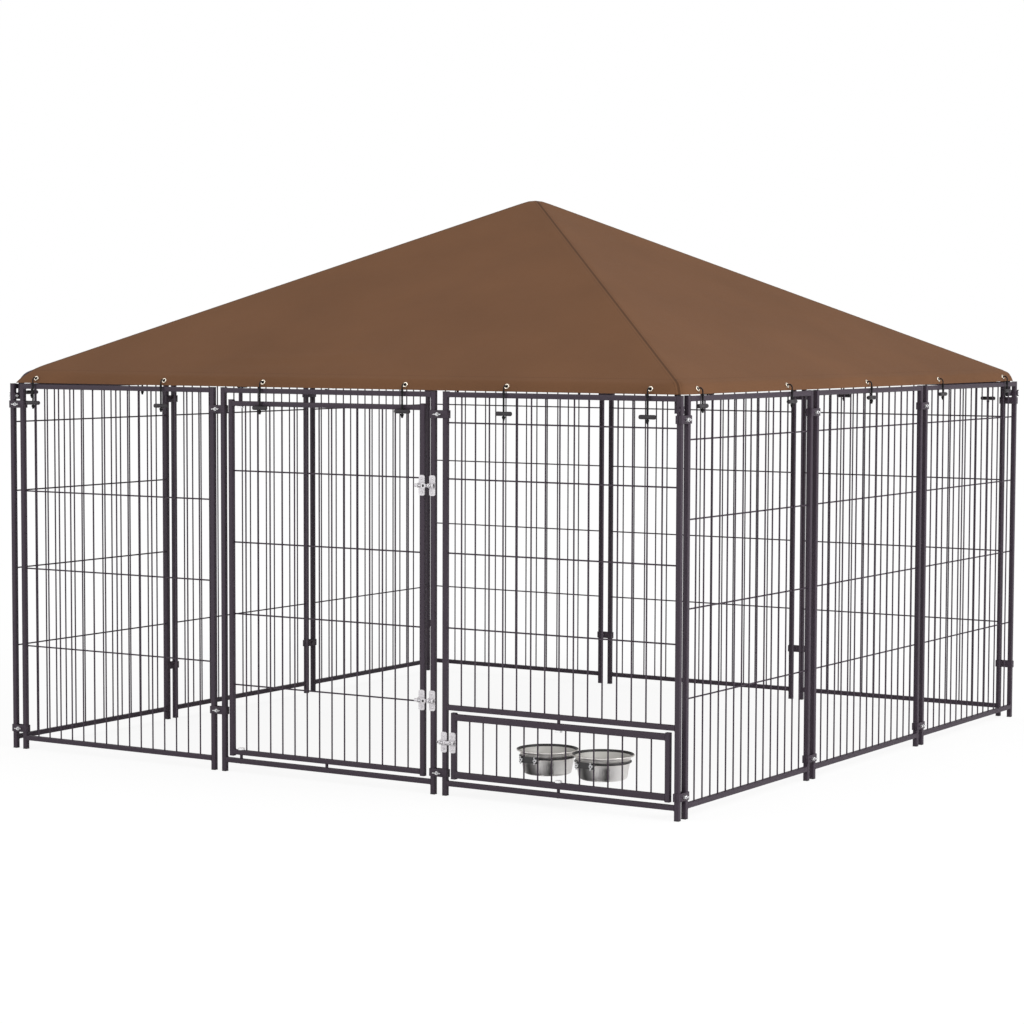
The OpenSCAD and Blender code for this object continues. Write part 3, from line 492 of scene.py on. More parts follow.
# %% Rolled eyelets
EYELET_R, ROLL_R, ROLL_H, ROLL_LIFT = 0.0055, 0.0015, 0.0009, 0.0004
section = [(EYELET_R + ROLL_R*cos(a), ROLL_H*sin(a) + ROLL_LIFT) for a in (pi*i/5 for i in range(10))]
eyelet = lathe(section, steps=24, closed=True)
on_hem = move(eyelet_at) @ Matrix.Rotation(TILT, 4, "X")
eyelets = stamp(eyelet, [at @ on_hem for at in hook_places])
eyelet_rings = piece("eyelet_rings", eyelets, eyelet_steel, ["canopy_grommets"])
print(len(hook_places), "eyelets")

# %% [markdown]
# ## Roof fabric
# Four gores of coated polyester are sewn together along the hips and stretched over the poles.
# A few low creases, each given by its face, its two ends and its height, keep the slopes from looking like
# sheet metal.

# %% Creases
CREASE_W, CREASE_REACH, CREASE_END = 0.014, 0.08, 0.2
CREASES = [(0, -0.30, 0.10, 0.15, 0.16, 0.0022), (0, -0.52, 0.09, -0.15, 0.13, 0.0018),
           (0, 0.10, 0.20, 0.42, 0.24, 0.0014), (1, 0.15, 0.12, 0.60, 0.20, 0.0016),
           (1, -0.30, 0.16, 0.05, 0.21, 0.0014), (2, -0.2, 0.12, 0.3, 0.18, 0.0018),
           (3, -0.4, 0.11, 0.1, 0.17, 0.0018)]


def crease_height(x, y):
    total = 0.0
    for k, x0, d0, x1, d1, height in CREASES:
        at = (Matrix.Rotation(radians(-90*k), 3, "Z") @ Vector((x, y, 0))).to_2d()
        start, run = Vector((x0, d0 - HEM)), Vector((x1 - x0, d1 - d0))
        t = (at - start).dot(run)/run.length_squared
        gap = abs((at - start).cross(run))/run.length
        if -CREASE_END < t < 1 + CREASE_END and gap < CREASE_REACH:
            rise = sin(pi*(t + CREASE_END)/(1 + 2*CREASE_END))**2
            total += height*rise*exp(-(gap/CREASE_W)**2)
    return total


# %% [markdown]
# ### Stretched shape
# A flat grid is laid over the roof, with finer cells near the hem. Each ring of the grid becomes a square
# with rounded corners, sinks a little between the hips, waves softly and turns down at the hem, more gently
# at the two left corners.

# %% Shape of the stretched cloth
HIP_R, HEM_R, HIP_OPENING = 0.008, 0.030, 0.7
SAG = 0.006
LEFT_EASE, EASE_POWER = 2.9, 8
CROWN = (RIDGE - APEX)/SLOPE
FINE_SHARE, FINE_BAND = 0.20, 0.075
WAVE_H, WAVES, WAVE_ROW = 0.004, 2.1, 0.4


def ease(value, low, high):
    t = min(1.0, max(0.0, (value - low)/(high - low)))
    return t*t*(3 - 2*t)


def spread(u):
    inner = 1 - FINE_BAND/HEM
    if u < 1 - FINE_SHARE:
        return u/(1 - FINE_SHARE)*inner
    return inner + (u - 1 + FINE_SHARE)/FINE_SHARE*(1 - inner)


def cloth_point(u, v):
    major, minor = max(abs(u), abs(v)), min(abs(u), abs(v))
    a = HEM*spread(major)
    r = min(a/2, max(HIP_R, HEM_R - HIP_OPENING*(HEM - a)))
    c = a - r
    run = a*minor/major if major else 0.0
    if run <= c:
        far, near = a, run
        share = cos(pi/2*run/c) if c else 0.0
    else:
        w = (run - c)/r*pi/4
        far, near = c + r*cos(w), c + r*sin(w)
        share = 0.0
    zone = DROOP_ZONE*(1 + LEFT_EASE*(u < 0)*(near/far)**EASE_POWER) if far else DROOP_ZONE
    slope = SLOPE*(a**4 + CROWN**4)**0.25
    sag = SAG*sin(pi*a/HEM)*share
    droop = DROOP*max(0.0, 1 - (HEM - a)/zone)**2
    x, y = (far, near) if abs(u) >= abs(v) else (near, far)
    x, y = copysign(x, u), copysign(y, v)
    calm = ease(far - near, 0.05, 0.35)*ease(HEM - a, 0.04, 0.25)*ease(a, 0.1, 0.4)
    wave = WAVE_H*calm*noise.noise((WAVES*x, WAVES*y, WAVE_ROW))
    return Vector((x, y, RIDGE - slope - sag - droop + wave + crease_height(x, y)))


# %% [markdown]
# ### One sheet
# The grid is cut along its hips, lifted to the roof's shape, measured, and given the thickness of the cloth.

# %% Lay the grid and thicken it
CELLS = 150
ON_HIP = 1e-5
FABRIC_T, CLOTH_GAP = 0.0009, 0.0002
cloth = bmesh.new()
bmesh.ops.create_grid(cloth, x_segments=CELLS, y_segments=CELLS, size=1.0)
hip_verts = [v for v in cloth.verts if abs(abs(v.co.x) - abs(v.co.y)) < ON_HIP]
bmesh.ops.connect_verts(cloth, verts=hip_verts)
for v in cloth.verts:
    v.co = cloth_point(round(v.co.x, 6), round(v.co.y, 6)) - Vector((0, 0, CLOTH_GAP))
flat_area = sum(f.calc_area() for f in cloth.faces)
bmesh.ops.recalc_face_normals(cloth, faces=cloth.faces)
if sum(f.normal.z for f in cloth.faces) < 0:
    bmesh.ops.reverse_faces(cloth, faces=cloth.faces)
bmesh.ops.solidify(cloth, geom=cloth.faces, thickness=FABRIC_T)
print("cloth of", len(cloth.faces), "faces and", round(flat_area, 3), "square metres")

# %% [markdown]
# ### Weave
# Coated polyester is a plain weave of fine yarn, closed by a thin film. The weave is two sets of ridges at
# right angles. Soft patches of painted shade, lighter and darker, stand for the cloth's low folds.

# %% The weave group
YARN_SHADE = 0.06
SOFT_SHADE_DEPTH, SOFT_SHADE_SCALE = 0.26, 2.6
relief_outputs = [("Shade", "Float"), ("Height", "Float")]
weave, into, out = new_group("weave", [("Threads", "Float", 700.0)], relief_outputs)
where = add(weave, "TexCoord").outputs["Object"]
axes = add(weave, "SeparateXYZ", Vector=where).outputs
pace = times(into.outputs[0], 2*pi)
yarns = [calc("SINE", times(axes[i], pace)) for i in (0, 1)]
cross = times(*yarns)
# Painted shade: soft large patches lighten and darken the cloth to stand for its low folds.
soft_shade_noise = add(weave, "TexNoise", Vector=where, Scale=SOFT_SHADE_SCALE, Detail=2.0)
painted_soft_shade = times(minus(soft_shade_noise, 0.5), SOFT_SHADE_DEPTH)
threads = plus(times(cross, YARN_SHADE), 1.0)
set_sockets(out, {"Shade": plus(threads, painted_soft_shade), "Height": cross})
print("weave group with", len(weave.nodes), "nodes")

# %% [markdown]
# ### Seams
# The hips carry a folded seam with stitching beside it, and the hem a single row of stitches.

# %% The stitching group
FOLD_W = 0.0045
SEAM_AT, SEAM_W, SEAM_STITCHES = 0.012, 0.0012, 260.0
HEM_AT, HEM_W, HEM_STITCHES = 0.034, 0.0008, 220.0
STITCH_GAP = 0.35
FOLD_SHADE, THREAD_SHADE = 0.42, 0.22
stitching, into, out = new_group("stitching", [("Hem", "Float", 1.0)], relief_outputs)
axes = add(stitching, "SeparateXYZ", Vector=add(stitching, "TexCoord").outputs["Object"]).outputs
ax, ay = (calc("ABSOLUTE", axes[i]) for i in (0, 1))
hip = calc("ABSOLUTE", minus(ax, ay))
edge = minus(into.outputs[0], calc("MAXIMUM", ax, ay))
aside = calc("MINIMUM", ax, ay)


def stitch_row(across, middle, width, along, per_metre):
    row = calc("COMPARE", across, middle, width)
    pace = calc("FRACT", times(along, per_metre))
    return times(row, calc("GREATER_THAN", pace, STITCH_GAP))


fold = calc("COMPARE", hip, 0.0, FOLD_W)
thread = calc("MAXIMUM",
              stitch_row(hip, SEAM_AT, SEAM_W, ax, SEAM_STITCHES),
              stitch_row(edge, HEM_AT, HEM_W, aside, HEM_STITCHES))
dark = plus(times(fold, FOLD_SHADE), times(thread, THREAD_SHADE))
sunk = times(plus(fold, thread), -1.0)
set_sockets(out, {"Shade": minus(1.0, dark), "Height": sunk})
print("stitching group with", len(stitching.nodes), "nodes")

# %% [markdown]
# ### Cloth colour and painted shade
# The two groups darken the plain brown and raise its relief. The sheet then becomes one piece, and its flat
# size is printed.

# %% Colour, shade and hang the cloth
roof_fabric = coat("roof_fabric", (0.126, 0.060, 0.0295), 0.85, 40.0, 0.0, cloud=0.16, spread=0.08, shine=0.1)
tree = roof_fabric.node_tree
shader = tree.nodes["Principled BSDF"]
woven = use_group(tree, weave)
sewn = use_group(tree, stitching, Hem=HEM)
tone = times(woven.outputs["Shade"], sewn.outputs["Shade"])
cloth_colour_and_shade = add(tree, "VectorMath", {"operation": "SCALE"}, Scale=tone)
wire_in(cloth_colour_and_shade.inputs[0], shader.inputs["Base Color"].links[0].from_socket)
yarn_relief = add(tree, "Bump", Strength=0.15, Distance=0.0003, Height=woven.outputs["Height"])
seam_relief = add(tree, "Bump", Strength=0.6, Distance=0.0006, Height=sewn.outputs["Height"],
                  Normal=yarn_relief)
set_sockets(shader, {"Base Color": cloth_colour_and_shade, "Normal": seam_relief})

canopy = piece("roof_cloth", cloth, roof_fabric,
               ["canopy_front", "canopy_right", "canopy_back", "canopy_left"], sharp=30)
print("sheet of", round(2*HEM, 3), "by", round(flat_area/(2*HEM), 3), "m")

# %% [markdown]
# ## Panels
# A panel is a frame of 13 mm square tube with a mesh of 4 mm wire welded in. The upright wires stand in the
# middle of the tube and the level wires cross behind them, with a weld spot at each crossing.
# Rails meet the posts in a bead of weld above and below.

# %% Parts of a panel
TUBE_EDGE, TUBE_STEPS = 0.0016, 3
RAIL_Z = 0.025
RAIL_SHY = 0.0001
WIRE = 0.004
WIRE_Y = MID + WIRE - 0.0005
WIRE_ROOT = 0.0004
WELD, WELD_BEADS, WELD_EDGE = 0.0034, 4, 0.7
END_WELD, CROSS_WELD = WIRE*1.35, WIRE*1.1
WELD_STRETCH, CROSS_FLAT = 1.1, 0.8


def post(bm, x, low, high):
    block(bm, (x, 0, low), (x + TUBE, TUBE, high), TUBE_EDGE, TUBE_STEPS, "z")


def weld_row(bm, x, z):
    for i in range(WELD_BEADS):
        y = TUBE*(i + WELD_EDGE)/(WELD_BEADS - 1 + 2*WELD_EDGE)
        bead(bm, (x, y, z), WELD, WELD_STRETCH, 2)


def rail(bm, x0, x1, z, high=TUBE):
    block(bm, (x0, RAIL_SHY, z), (x1, TUBE - RAIL_SHY, z + high), TUBE_EDGE, TUBE_STEPS, "x")
    for x in (x0, x1):
        weld_row(bm, x, z)
        weld_row(bm, x, z + high)


def mesh_wires(bm, x0, x1, z0, z1, bars, heights):
    xs = [x0 + (x1 - x0)*i/(bars + 1) for i in range(1, bars + 1)]
    for x in xs:
        rod(bm, (x, MID, z0 - WIRE_ROOT), (x, MID, z1 + WIRE_ROOT), WIRE)
        for z in (z0, z1):
            bead(bm, (x, MID, z), END_WELD)
    for z in heights:
        rod(bm, (x0 - WIRE_ROOT, WIRE_Y, z), (x1 + WIRE_ROOT, WIRE_Y, z), WIRE)
        for x in xs:
            bead(bm, (x, (MID + WIRE_Y)/2, z), CROSS_WELD, CROSS_FLAT)
        for x in (x0, x1):
            bead(bm, (x, WIRE_Y, z), END_WELD)


def panel_frame(*rails):
    bm = bmesh.new()
    for x in (0, PANEL_W - TUBE):
        post(bm, x, FOOT, PANEL_H)
    for z in (RAIL_Z, PANEL_H - TUBE, *rails):
        rail(bm, TUBE, PANEL_W - TUBE, z)
    return bm


def welded(node, bm, k, i):
    piece(node + "_welded", stamp(bm, [on_face(k, PANEL_X[i])]), frame_paint, [node])


# %% [markdown]
# ### Plain panels
# As in the photograph, the front one has no top wire, and the two rear ones of the left face have only the
# lowest and the top one. Each kind is welded once and stamped.

# %% Ten plain panels
BARS = 15
LOW_WIRES = [0.290, 0.507, 0.723]
TOP_WIRE = PANEL_H - 0.105


def plain_panel(heights):
    bm = panel_frame()
    mesh_wires(bm, TUBE, PANEL_W - TUBE, RAIL_Z + TUBE, PANEL_H - TUBE, BARS, heights)
    return bm


full = plain_panel(LOW_WIRES + [TOP_WIRE])
sparse = plain_panel([LOW_WIRES[0], TOP_WIRE])
print("plain panel of", len(full.faces), "faces")
welded("front_panel", plain_panel(LOW_WIRES), 0, 0)
for k, side in ((1, "right"), (2, "back"), (3, "left")):
    for i in range(3):
        welded(f"{side}_panel_{i + 1}", sparse if k == 3 and i < 2 else full, k, i)

# %% [markdown]
# ### Door panel and feeder panel
# The door panel is an open frame. The feeder panel has a third rail above its gate and its own level wires.

# %% Two panels with openings
GATE_GAP = 0.006
MID_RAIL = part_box("feeder_gate")[1].z + GATE_GAP
FEEDER_WIRES = [0.426, 0.615, 0.802, PANEL_H - 0.077]
welded("door_frame", panel_frame(), 0, 1)
welded("feeder_frame", panel_frame(MID_RAIL), 0, 2)
bm = bmesh.new()
mesh_wires(bm, TUBE, PANEL_W - TUBE, MID_RAIL + TUBE, PANEL_H - TUBE, BARS, FEEDER_WIRES)
print("feeder mesh of", len(bm.faces), "faces")
welded("feeder_mesh", bm, 0, 2)

# %% [markdown]
# ## Door leaf and feeder gate
# Both leaves hang on bolts in their rails. Their stiles are cut a little longer than the rails reach,
# so the open ends of the tube show.

# %% Leaves with open tube ends
TUBE_WALL, OPEN_DEPTH = 0.0012, 0.008
DOOR_OVER, DOOR_WIRES = 0.004, [0.234, 0.423, 0.613, 0.802]
GATE_OVER, GATE_RAIL = 0.003, 0.016
LEAF_BARS = 14


def stile(bm, x, low, high):
    old = set(bm.faces)
    post(bm, x, low, high)
    ends = [f for f in bm.faces if f not in old and abs(f.normal.z) > 0.99]
    bmesh.ops.inset_individual(bm, faces=ends, thickness=TUBE_WALL, use_even_offset=True)
    for f in ends:
        shift = f.normal*-OPEN_DEPTH
        made = bmesh.ops.extrude_discrete_faces(bm, faces=[f])["faces"]
        bmesh.ops.translate(bm, vec=shift, verts=made[0].verts)


def leaf(node, body, over, rail_high, heights):
    low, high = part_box(node)
    bm = bmesh.new()
    for x in (low.x, high.x - TUBE):
        stile(bm, x, low.z, high.z)
    rails = (low.z + over, high.z - over - rail_high)
    for z in rails:
        rail(bm, low.x + TUBE, high.x - TUBE, z, rail_high)
    mesh_wires(bm, low.x + TUBE, high.x - TUBE, rails[0] + rail_high, rails[1], LEAF_BARS, heights)
    bm.transform(on_face(0))
    print(node, "of", len(bm.faces), "faces")
    piece(node + "_welded", bm, frame_paint, [node], body)


leaf("door_leaf", "door", DOOR_OVER, TUBE, DOOR_WIRES)
leaf("feeder_gate", "feeder_gate", GATE_OVER, GATE_RAIL, [])

# %% [markdown]
# ## Latches
# Each latch is a zinc-plated barrel bolt: a round-cornered plate with a barrel on one side of the gap, the
# same plate as a keeper on the other, and a bolt. Domed screws hold the plates, and a near-black ring sunk
# into the face of each barrel is a painted shadow of its groove.

# %% Plate, screw and line
LATCH_W, LATCH_H, LATCH_T, LATCH_R = 0.0175, 0.052, 0.002, 0.005
BARREL_Y, BARREL_R, BARREL_BEVEL = -0.00705, 0.00605, 0.0005
CHEEK = 0.0016
LINE_D, LINE_SINK = 0.0018, 0.0005
in_barrel = move((0, BARREL_Y, 0)) @ along_x

outline = []
for quarter, (sx, sz) in enumerate(((1, 1), (-1, 1), (-1, -1), (1, -1))):
    middle = (sx*(LATCH_W/2 - LATCH_R), sz*(LATCH_H/2 - LATCH_R))
    outline += arc(*middle, LATCH_R, quarter*pi/2, pi/2, 8)


def latch_plate(bore):
    bm = blank(outline, LATCH_T, 0.0, stand)
    end, chamfer = LATCH_W/2, BARREL_R - BARREL_BEVEL
    section = [(bore/2, -end), (chamfer, -end), (BARREL_R, -end + BARREL_BEVEL),
               (BARREL_R, end - BARREL_BEVEL), (chamfer, end), (bore/2, end)]
    lathe(section, in_barrel, 28, True, bm)
    for z in (-BARREL_R, BARREL_R - CHEEK):
        block(bm, (-end, BARREL_Y, z), (end, -LATCH_T + 0.0001, z + CHEEK), 0.0003, 1, "xy")
    return bm


# Painted shadow: a near-black ring sunk into the barrel's face stands for the shade in its groove.
def barrel_groove_shadow(half_long, half_high):
    ring = []
    for a in (2*pi*i/24 for i in range(24)):
        x = copysign(half_long - half_high, cos(a)) + half_high*cos(a)
        z = half_high*sin(a)
        ring.append((x, BARREL_Y - sqrt(BARREL_R**2 - z*z) + LINE_SINK, z))
    return sweep(ring, LINE_D, 6, True)


screw = lathe([(0, -0.0020), (0.0012, -0.00195), (0.0024, -0.0016), (0.0032, -0.0009), (0.0035, -0.0002),
               (0.0035, 0.0), (0, 0.0)], steps=20)
print("latch plate outline of", len(outline), "points")

# %% [markdown]
# ### Bolts
# A door bolt carries a round thumb plate on a short neck, with a hollow in its face.
# The feeder bolt ends in an eye instead.

# %% Bolt, thumb plate and eye
BOLT_D, TAIL_BEVEL, TIP_BEVEL = 0.008, 0.0008, 0.0012
NECK_D = 0.004
THUMB_Y, THUMB_T, THUMB_R = BARREL_Y - BARREL_R - 0.0005, 0.003, 0.0075
HOLLOW_R = 0.0035
EYE_LENGTH = 0.0068


def latch_rod(tail, tip):
    r = BOLT_D/2
    shaft = [(0, tail), (r - TAIL_BEVEL, tail), (r, tail + TAIL_BEVEL), (r, tip - TIP_BEVEL),
             (r - TIP_BEVEL, tip), (0, tip)]
    return lathe(shaft, in_barrel, 24)


def thumb_plate(bm, x):
    rod(bm, (x, BARREL_Y, 0), (x, THUMB_Y - 0.0005, 0), NECK_D, 16)
    half = THUMB_T/2
    disc = [(0, half), (HOLLOW_R, half), (HOLLOW_R, THUMB_T - 0.0004), (HOLLOW_R + 0.0004, THUMB_T),
            (THUMB_R - 0.0008, THUMB_T), (THUMB_R, THUMB_T - 0.0008), (THUMB_R, 0.0006),
            (THUMB_R - 0.0006, 0), (0, 0)]
    lathe(disc, move((x, THUMB_Y, 0)) @ stand, 32, bm=bm)


def eyed_rod(tail, tip):
    bm = latch_rod(tail + EYE_LENGTH, tip)
    upper = [(0.0020, 0.0024), (0.0029, 0.0024), (0.0035, 0.0017), (0.0039, 0.0006)]
    eye = [(r, -y) for r, y in upper] + upper[::-1]
    return lathe(eye, move((tail + BOLT_D/2, BARREL_Y, 0)) @ stand, 28, True, bm)


# %% [markdown]
# ### Three latches
# The door's carriers ride on the leaf and their keepers on the post. The feeder's carrier rides on the post
# and its keeper on the gate. A near-black disc in each thumb plate's hollow and in the feeder bolt's eye is a
# painted shadow.

# %% Fit the latches
SCREW_Z = (LATCH_H - LATCH_W)/2
THUMB_BACK = 0.008
EYE_SHADOW_D, EYE_SHADOW_HALF = 0.0041, 0.0020
LINE_HALF_HIGH = 0.0028
parts = [("carrier", 0.0081, barrel_groove_shadow(0.0045, LINE_HALF_HIGH)),
         ("keeper", 0.0086, barrel_groove_shadow(0.003, LINE_HALF_HIGH))]
latches = [("upper", "door", "kennel"), ("lower", "door", "kennel"), ("feeder", "kennel", "feeder_gate")]
screw_nodes = {"door": "door_latch_screws", "kennel": "post_latch_screws", "feeder_gate": "gate_latch_screws"}
screw_places = {body: [] for body in screw_nodes}
groove_shadows = {body: bmesh.new() for body in screw_nodes}
for name, *bodies in latches:
    for (part, bore, line), body in zip(parts, bodies):
        low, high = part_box(f"{name}_latch_{part}")
        at = on_face(0, (low.x + high.x)/2, 0, (low.z + high.z)/2)
        bm = latch_plate(bore)
        bm.transform(at)
        piece(f"{name}_latch_{part}_plate", bm, latch_zinc, [f"{name}_latch_{part}"], body)
        stamp(line, [at], groove_shadows[body])
        screw_places[body] += [at @ move((0, -LATCH_T, s*SCREW_Z)) @ facing for s in (-1, 1)]
    low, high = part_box(f"{name}_latch_bolt")
    at = on_face(0, 0, 0, (low.z + high.z)/2)
    # Painted shadow: a near-black disc in the hollow or the eye stands for the shade inside it.
    hollow_shadow = bmesh.new()
    if name == "feeder":
        bm = eyed_rod(low.x, high.x)
        x = low.x + BOLT_D/2
        rod(hollow_shadow, (x, BARREL_Y - EYE_SHADOW_HALF, 0), (x, BARREL_Y + EYE_SHADOW_HALF, 0), EYE_SHADOW_D, 20)
    else:
        bm = latch_rod(low.x, high.x)
        x = high.x - THUMB_BACK
        thumb_plate(bm, x)
        shadow_ends = [(x, THUMB_Y - THUMB_T/2, 0), (x, THUMB_Y - THUMB_T + 0.0006, 0)]
        rod(hollow_shadow, *shadow_ends, 2*HOLLOW_R - 0.0002, 24)
    hollow_shadow.transform(at)
    piece(f"{name}_latch_hollow_shadow", hollow_shadow, holder_paint, (), f"{name}_latch", "latch_zinc")
    bm.transform(at)
    piece(f"{name}_latch_slider", bm, latch_zinc, [f"{name}_latch_bolt"], f"{name}_latch")
for body, node in screw_nodes.items():
    piece(node + "_domed", stamp(screw, screw_places[body]), latch_zinc, [node], body, "fastener_steel")
    piece(body + "_latch_grooves", groove_shadows[body], holder_paint, (), body, "latch_zinc")
print(sum(map(len, screw_places.values())), "latch screws")

# %% [markdown]
# ## Clamps
# Neighbouring panels are held by two pressed channels drawn together by a carriage bolt and a wing nut.
# The bolt heads inside the run get the panels' dark coat.

# %% Channel, wing, bolt and head
SEAT = 0.0003
SHEET, SHEET_EDGE = 0.0016, 0.0005
CLAMP_H = 0.020
SPAN = POST_GAP + 2*TUBE + 2*(SEAT + SHEET)
LIP = MID - 0.0005
NUT_H, BOLT_OUT = 0.007, 0.0042
TIP_R = 0.0025
x0, x1, y0 = -SPAN/2, SPAN/2, -SEAT - SHEET
channel = [(x0, LIP), (x0, y0), (x1, y0), (x1, LIP), (x1 - SHEET, LIP), (x1 - SHEET, -SEAT),
           (x0 + SHEET, -SEAT), (x0 + SHEET, LIP)]
clamp_half = blank(channel, CLAMP_H, SHEET_EDGE, move((0, 0, -CLAMP_H/2)))
inner = move((0, TUBE, 0)) @ Matrix.Diagonal((1, -1, 1, 1))


def wing(hub_h, hub_d, span, thick, bore):
    r, root = hub_d/2, hub_d/2 - 0.0012
    hub = lathe([(bore/2, 0), (r - 0.0003, 0), (r, 0.0004), (r - 0.0006, hub_h - 0.0005), (root, hub_h),
                 (bore/2, hub_h)], stand, 24, True)
    flap = [(root, -0.002), *arc(span - TIP_R, -hub_h, TIP_R, pi/2, -pi, 8), (root, -hub_h + 0.0003)]
    ear = blank(flap, thick, SHEET_EDGE, move((0, 0, -thick/2)))
    return stamp(ear, [Matrix(), Matrix.Diagonal((-1, 1, 1, 1))], hub)


OUT_Y = y0 - NUT_H - BOLT_OUT
bolt = lathe([(0, OUT_Y), (0.0024, OUT_Y), (0.003, OUT_Y + 0.0006), (0.003, TUBE - y0), (0, TUBE - y0)],
             facing, 20)
head = lathe([(0, 0), (0.006, 0), (0.0056, 0.0010), (0.0042, 0.0022), (0.0022, 0.0029), (0, 0.003)],
             move((0, TUBE - y0, 0)) @ facing, 20)
clamp_nut = wing(NUT_H, 0.011, 0.012, 0.0024, 0.0064)
print("clamps span", round(SPAN, 4), "m")

# %% [markdown]
# ### Clamps in place
# There are two at each junction of two panels. As in the photograph, the lower one is low at the front and
# the right, and raised to the left of the door and on the other faces.

# %% Stamp the clamps
TOP_CLAMP, LOW_CLAMP, RAISED_CLAMP = PANEL_H - 0.056, 0.057, 0.162
places = [on_face(k, PANEL_X[i] - POST_GAP/2, 0, z) for k in range(4) for i in range(3)
          for z in (TOP_CLAMP, LOW_CLAMP if (k == 0 and i != 1) or k == 1 else RAISED_CLAMP)]
inner_places = [at @ inner for at in places]
nut_places = [at @ move((0, y0, 0)) for at in places]
piece("clamp_outer_channels", stamp(clamp_half, places), frame_paint, ["clamp_outer_halves"])
piece("clamp_inner_channels", stamp(clamp_half, inner_places), frame_paint, ["clamp_inner_halves"])
piece("clamp_carriage_bolts", stamp(bolt, places), fastener_steel, ["clamp_bolts"])
piece("clamp_bolt_heads", stamp(head, places), frame_paint, slot="fastener_steel")
piece("clamp_wings", stamp(clamp_nut, nut_places), fastener_steel, ["clamp_wing_nuts"])
print(len(places), "clamps")

# %% [markdown]
# ## Pole screws
# A wing screw through each corner post holds the foot of a roof pole. Only the one at the front left corner
# shows bright in the photograph, so the others get the dark frame coat.

# %% Wing screws for the roof poles
SCREW_D, SCREW_OUT, SCREW_IN = 0.005, 0.0046, 0.0103
pole_wing = wing(0.005, 0.010, 0.010, 0.0024, 0.002)
rod(pole_wing, (0, -SCREW_OUT, 0), (0, TUBE + SCREW_IN, 0), SCREW_D, 16)
low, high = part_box("pole_screws")
screw_x = PANEL_X[2] + PANEL_W - TUBE/2
places = [on_face(k, screw_x, 0, (low.z + high.z)/2) @ along_x for k in range(4)]
piece("pole_wing_screw_bright", stamp(pole_wing, places[3:]), fastener_steel, ["pole_screws"])
piece("pole_wing_screws_dark", stamp(pole_wing, places[:3]), frame_paint, slot="fastener_steel")
print(len(places), "pole screws")

# %% [markdown]
# ## Bowls
# Spinning leaves fine rings round a bowl's axis, which the material repeats. The outside carries painted
# reflections: broad light and dark upright bands on its lower part, set by angles from the front, with edges
# that waver like brushing, and a bright painted sheen above them. The inside is a darker, duller copy of the
# steel whose grey stands for its reflections, and the rim's inner edge carries a painted shadow.

# %% Spun steel
# Painted reflections: the tone of the light and dark upright bands, by angle in degrees from the front.
PAINTED_REFLECTION_BANDS = [(-180, 0.85), (-120, 0.50), (-80, 0.90), (-50, 0.80), (-30, 0.42), (-16, 0.12), (0, 0.34),
           (18, 0.98), (30, 0.55), (38, 0.12), (42, 0.16), (45, 0.80), (75, 0.86), (110, 0.86), (140, 0.50),
           (180, 0.85)]
BAND_TOP, BAND_FULL = 0.046, 0.030
BRUSH_WANDER = 0.05
PAINTED_UPPER_SHEEN, PAINTED_INNER_REFLECTION, PAINTED_LIP_SHADOW = (0.84, 0.82, 0.79, 1), (0.50, 0.49, 0.46, 1), (0.012, 0.012, 0.012, 1)
LIP_W = 0.0068


def bowl_steel(name, axis, rim):
    material, tree, shader = new_material(name)
    where = add(tree, "TexCoord")
    near = add(tree, "Mapping", Vector=where.outputs["Object"], Location=-axis)
    x, y, z = add(tree, "SeparateXYZ", Vector=near).outputs
    nx, ny = add(tree, "SeparateXYZ", Vector=where.outputs["Normal"]).outputs[:2]
    reach = calc("SQRT", plus(calc("POWER", x, 2.0), calc("POWER", y, 2.0)))
    along = plus(times(x, nx), times(y, ny))
    outward = calc("DIVIDE", along, reach)
    angle = calc("ARCTAN2", x, times(y, -1.0))

    upright = add(tree, "CombineXYZ", X=angle, Y=z)
    brushed = add(tree, "TexNoise", Vector=upright, Scale=60.0, Detail=2.0)
    wander = times(minus(brushed, 0.5), BRUSH_WANDER)
    turn = plus(calc("DIVIDE", angle, 2*pi), plus(wander, 0.5))
    # Painted reflection bands round the lower outside wall.
    reflection_bands = add(tree, "ValToRGB", Fac=turn)
    stops = reflection_bands.color_ramp.elements
    for degrees, tone in PAINTED_REFLECTION_BANDS[1:-1]:
        stops.new(degrees/360 + 0.5)
    for stop, (degrees, tone) in zip(stops, PAINTED_REFLECTION_BANDS):
        stop.color = (tone, tone*0.985, tone*0.97, 1)

    low_part = add(tree, "MapRange", {"interpolation_type": "SMOOTHSTEP"}, Value=z, From_Min=BAND_TOP,
                   From_Max=BAND_FULL)
    wall_side = times(calc("GREATER_THAN", outward, 0.3), low_part)
    outside = calc("GREATER_THAN", outward, 0.0)
    # Painted shadow: the inward face of the rolled rim is made near-black.
    edge = calc("GREATER_THAN", reach, rim - LIP_W)
    lip_shadow = times(calc("LESS_THAN", outward, 0.2), edge)
    # Painted sheen: outside the bands, the wall, flare and rim take a bright plain tone.
    plain = add(tree, "MixRGB", Fac=wall_side, Color1=PAINTED_UPPER_SHEEN, Color2=reflection_bands)
    # The inside is a flat, darker grey with no metal, painted to stand for its reflections.
    lined = add(tree, "MixRGB", Fac=outside, Color1=PAINTED_INNER_REFLECTION, Color2=plain)
    shade = add(tree, "MixRGB", Fac=lip_shadow, Color1=lined, Color2=PAINTED_LIP_SHADOW)

    around = add(tree, "CombineXYZ", X=reach, Y=z)
    rings = add(tree, "TexNoise", Vector=around, Scale=1400.0, Detail=2.0)
    rough = plus(times(rings, 0.16), 0.34)
    relief = add(tree, "Bump", Strength=0.12, Distance=0.0002, Height=rings)
    set_sockets(shader, {"Base Color": shade, "Roughness": rough, "Metallic": outside, "Normal": relief})
    return material


# %% [markdown]
# ### Drawn bowls
# The bowls are drawn from stainless sheet: a bottom with a raised middle, a rounded corner, a slightly flared
# wall and a rolled rim.

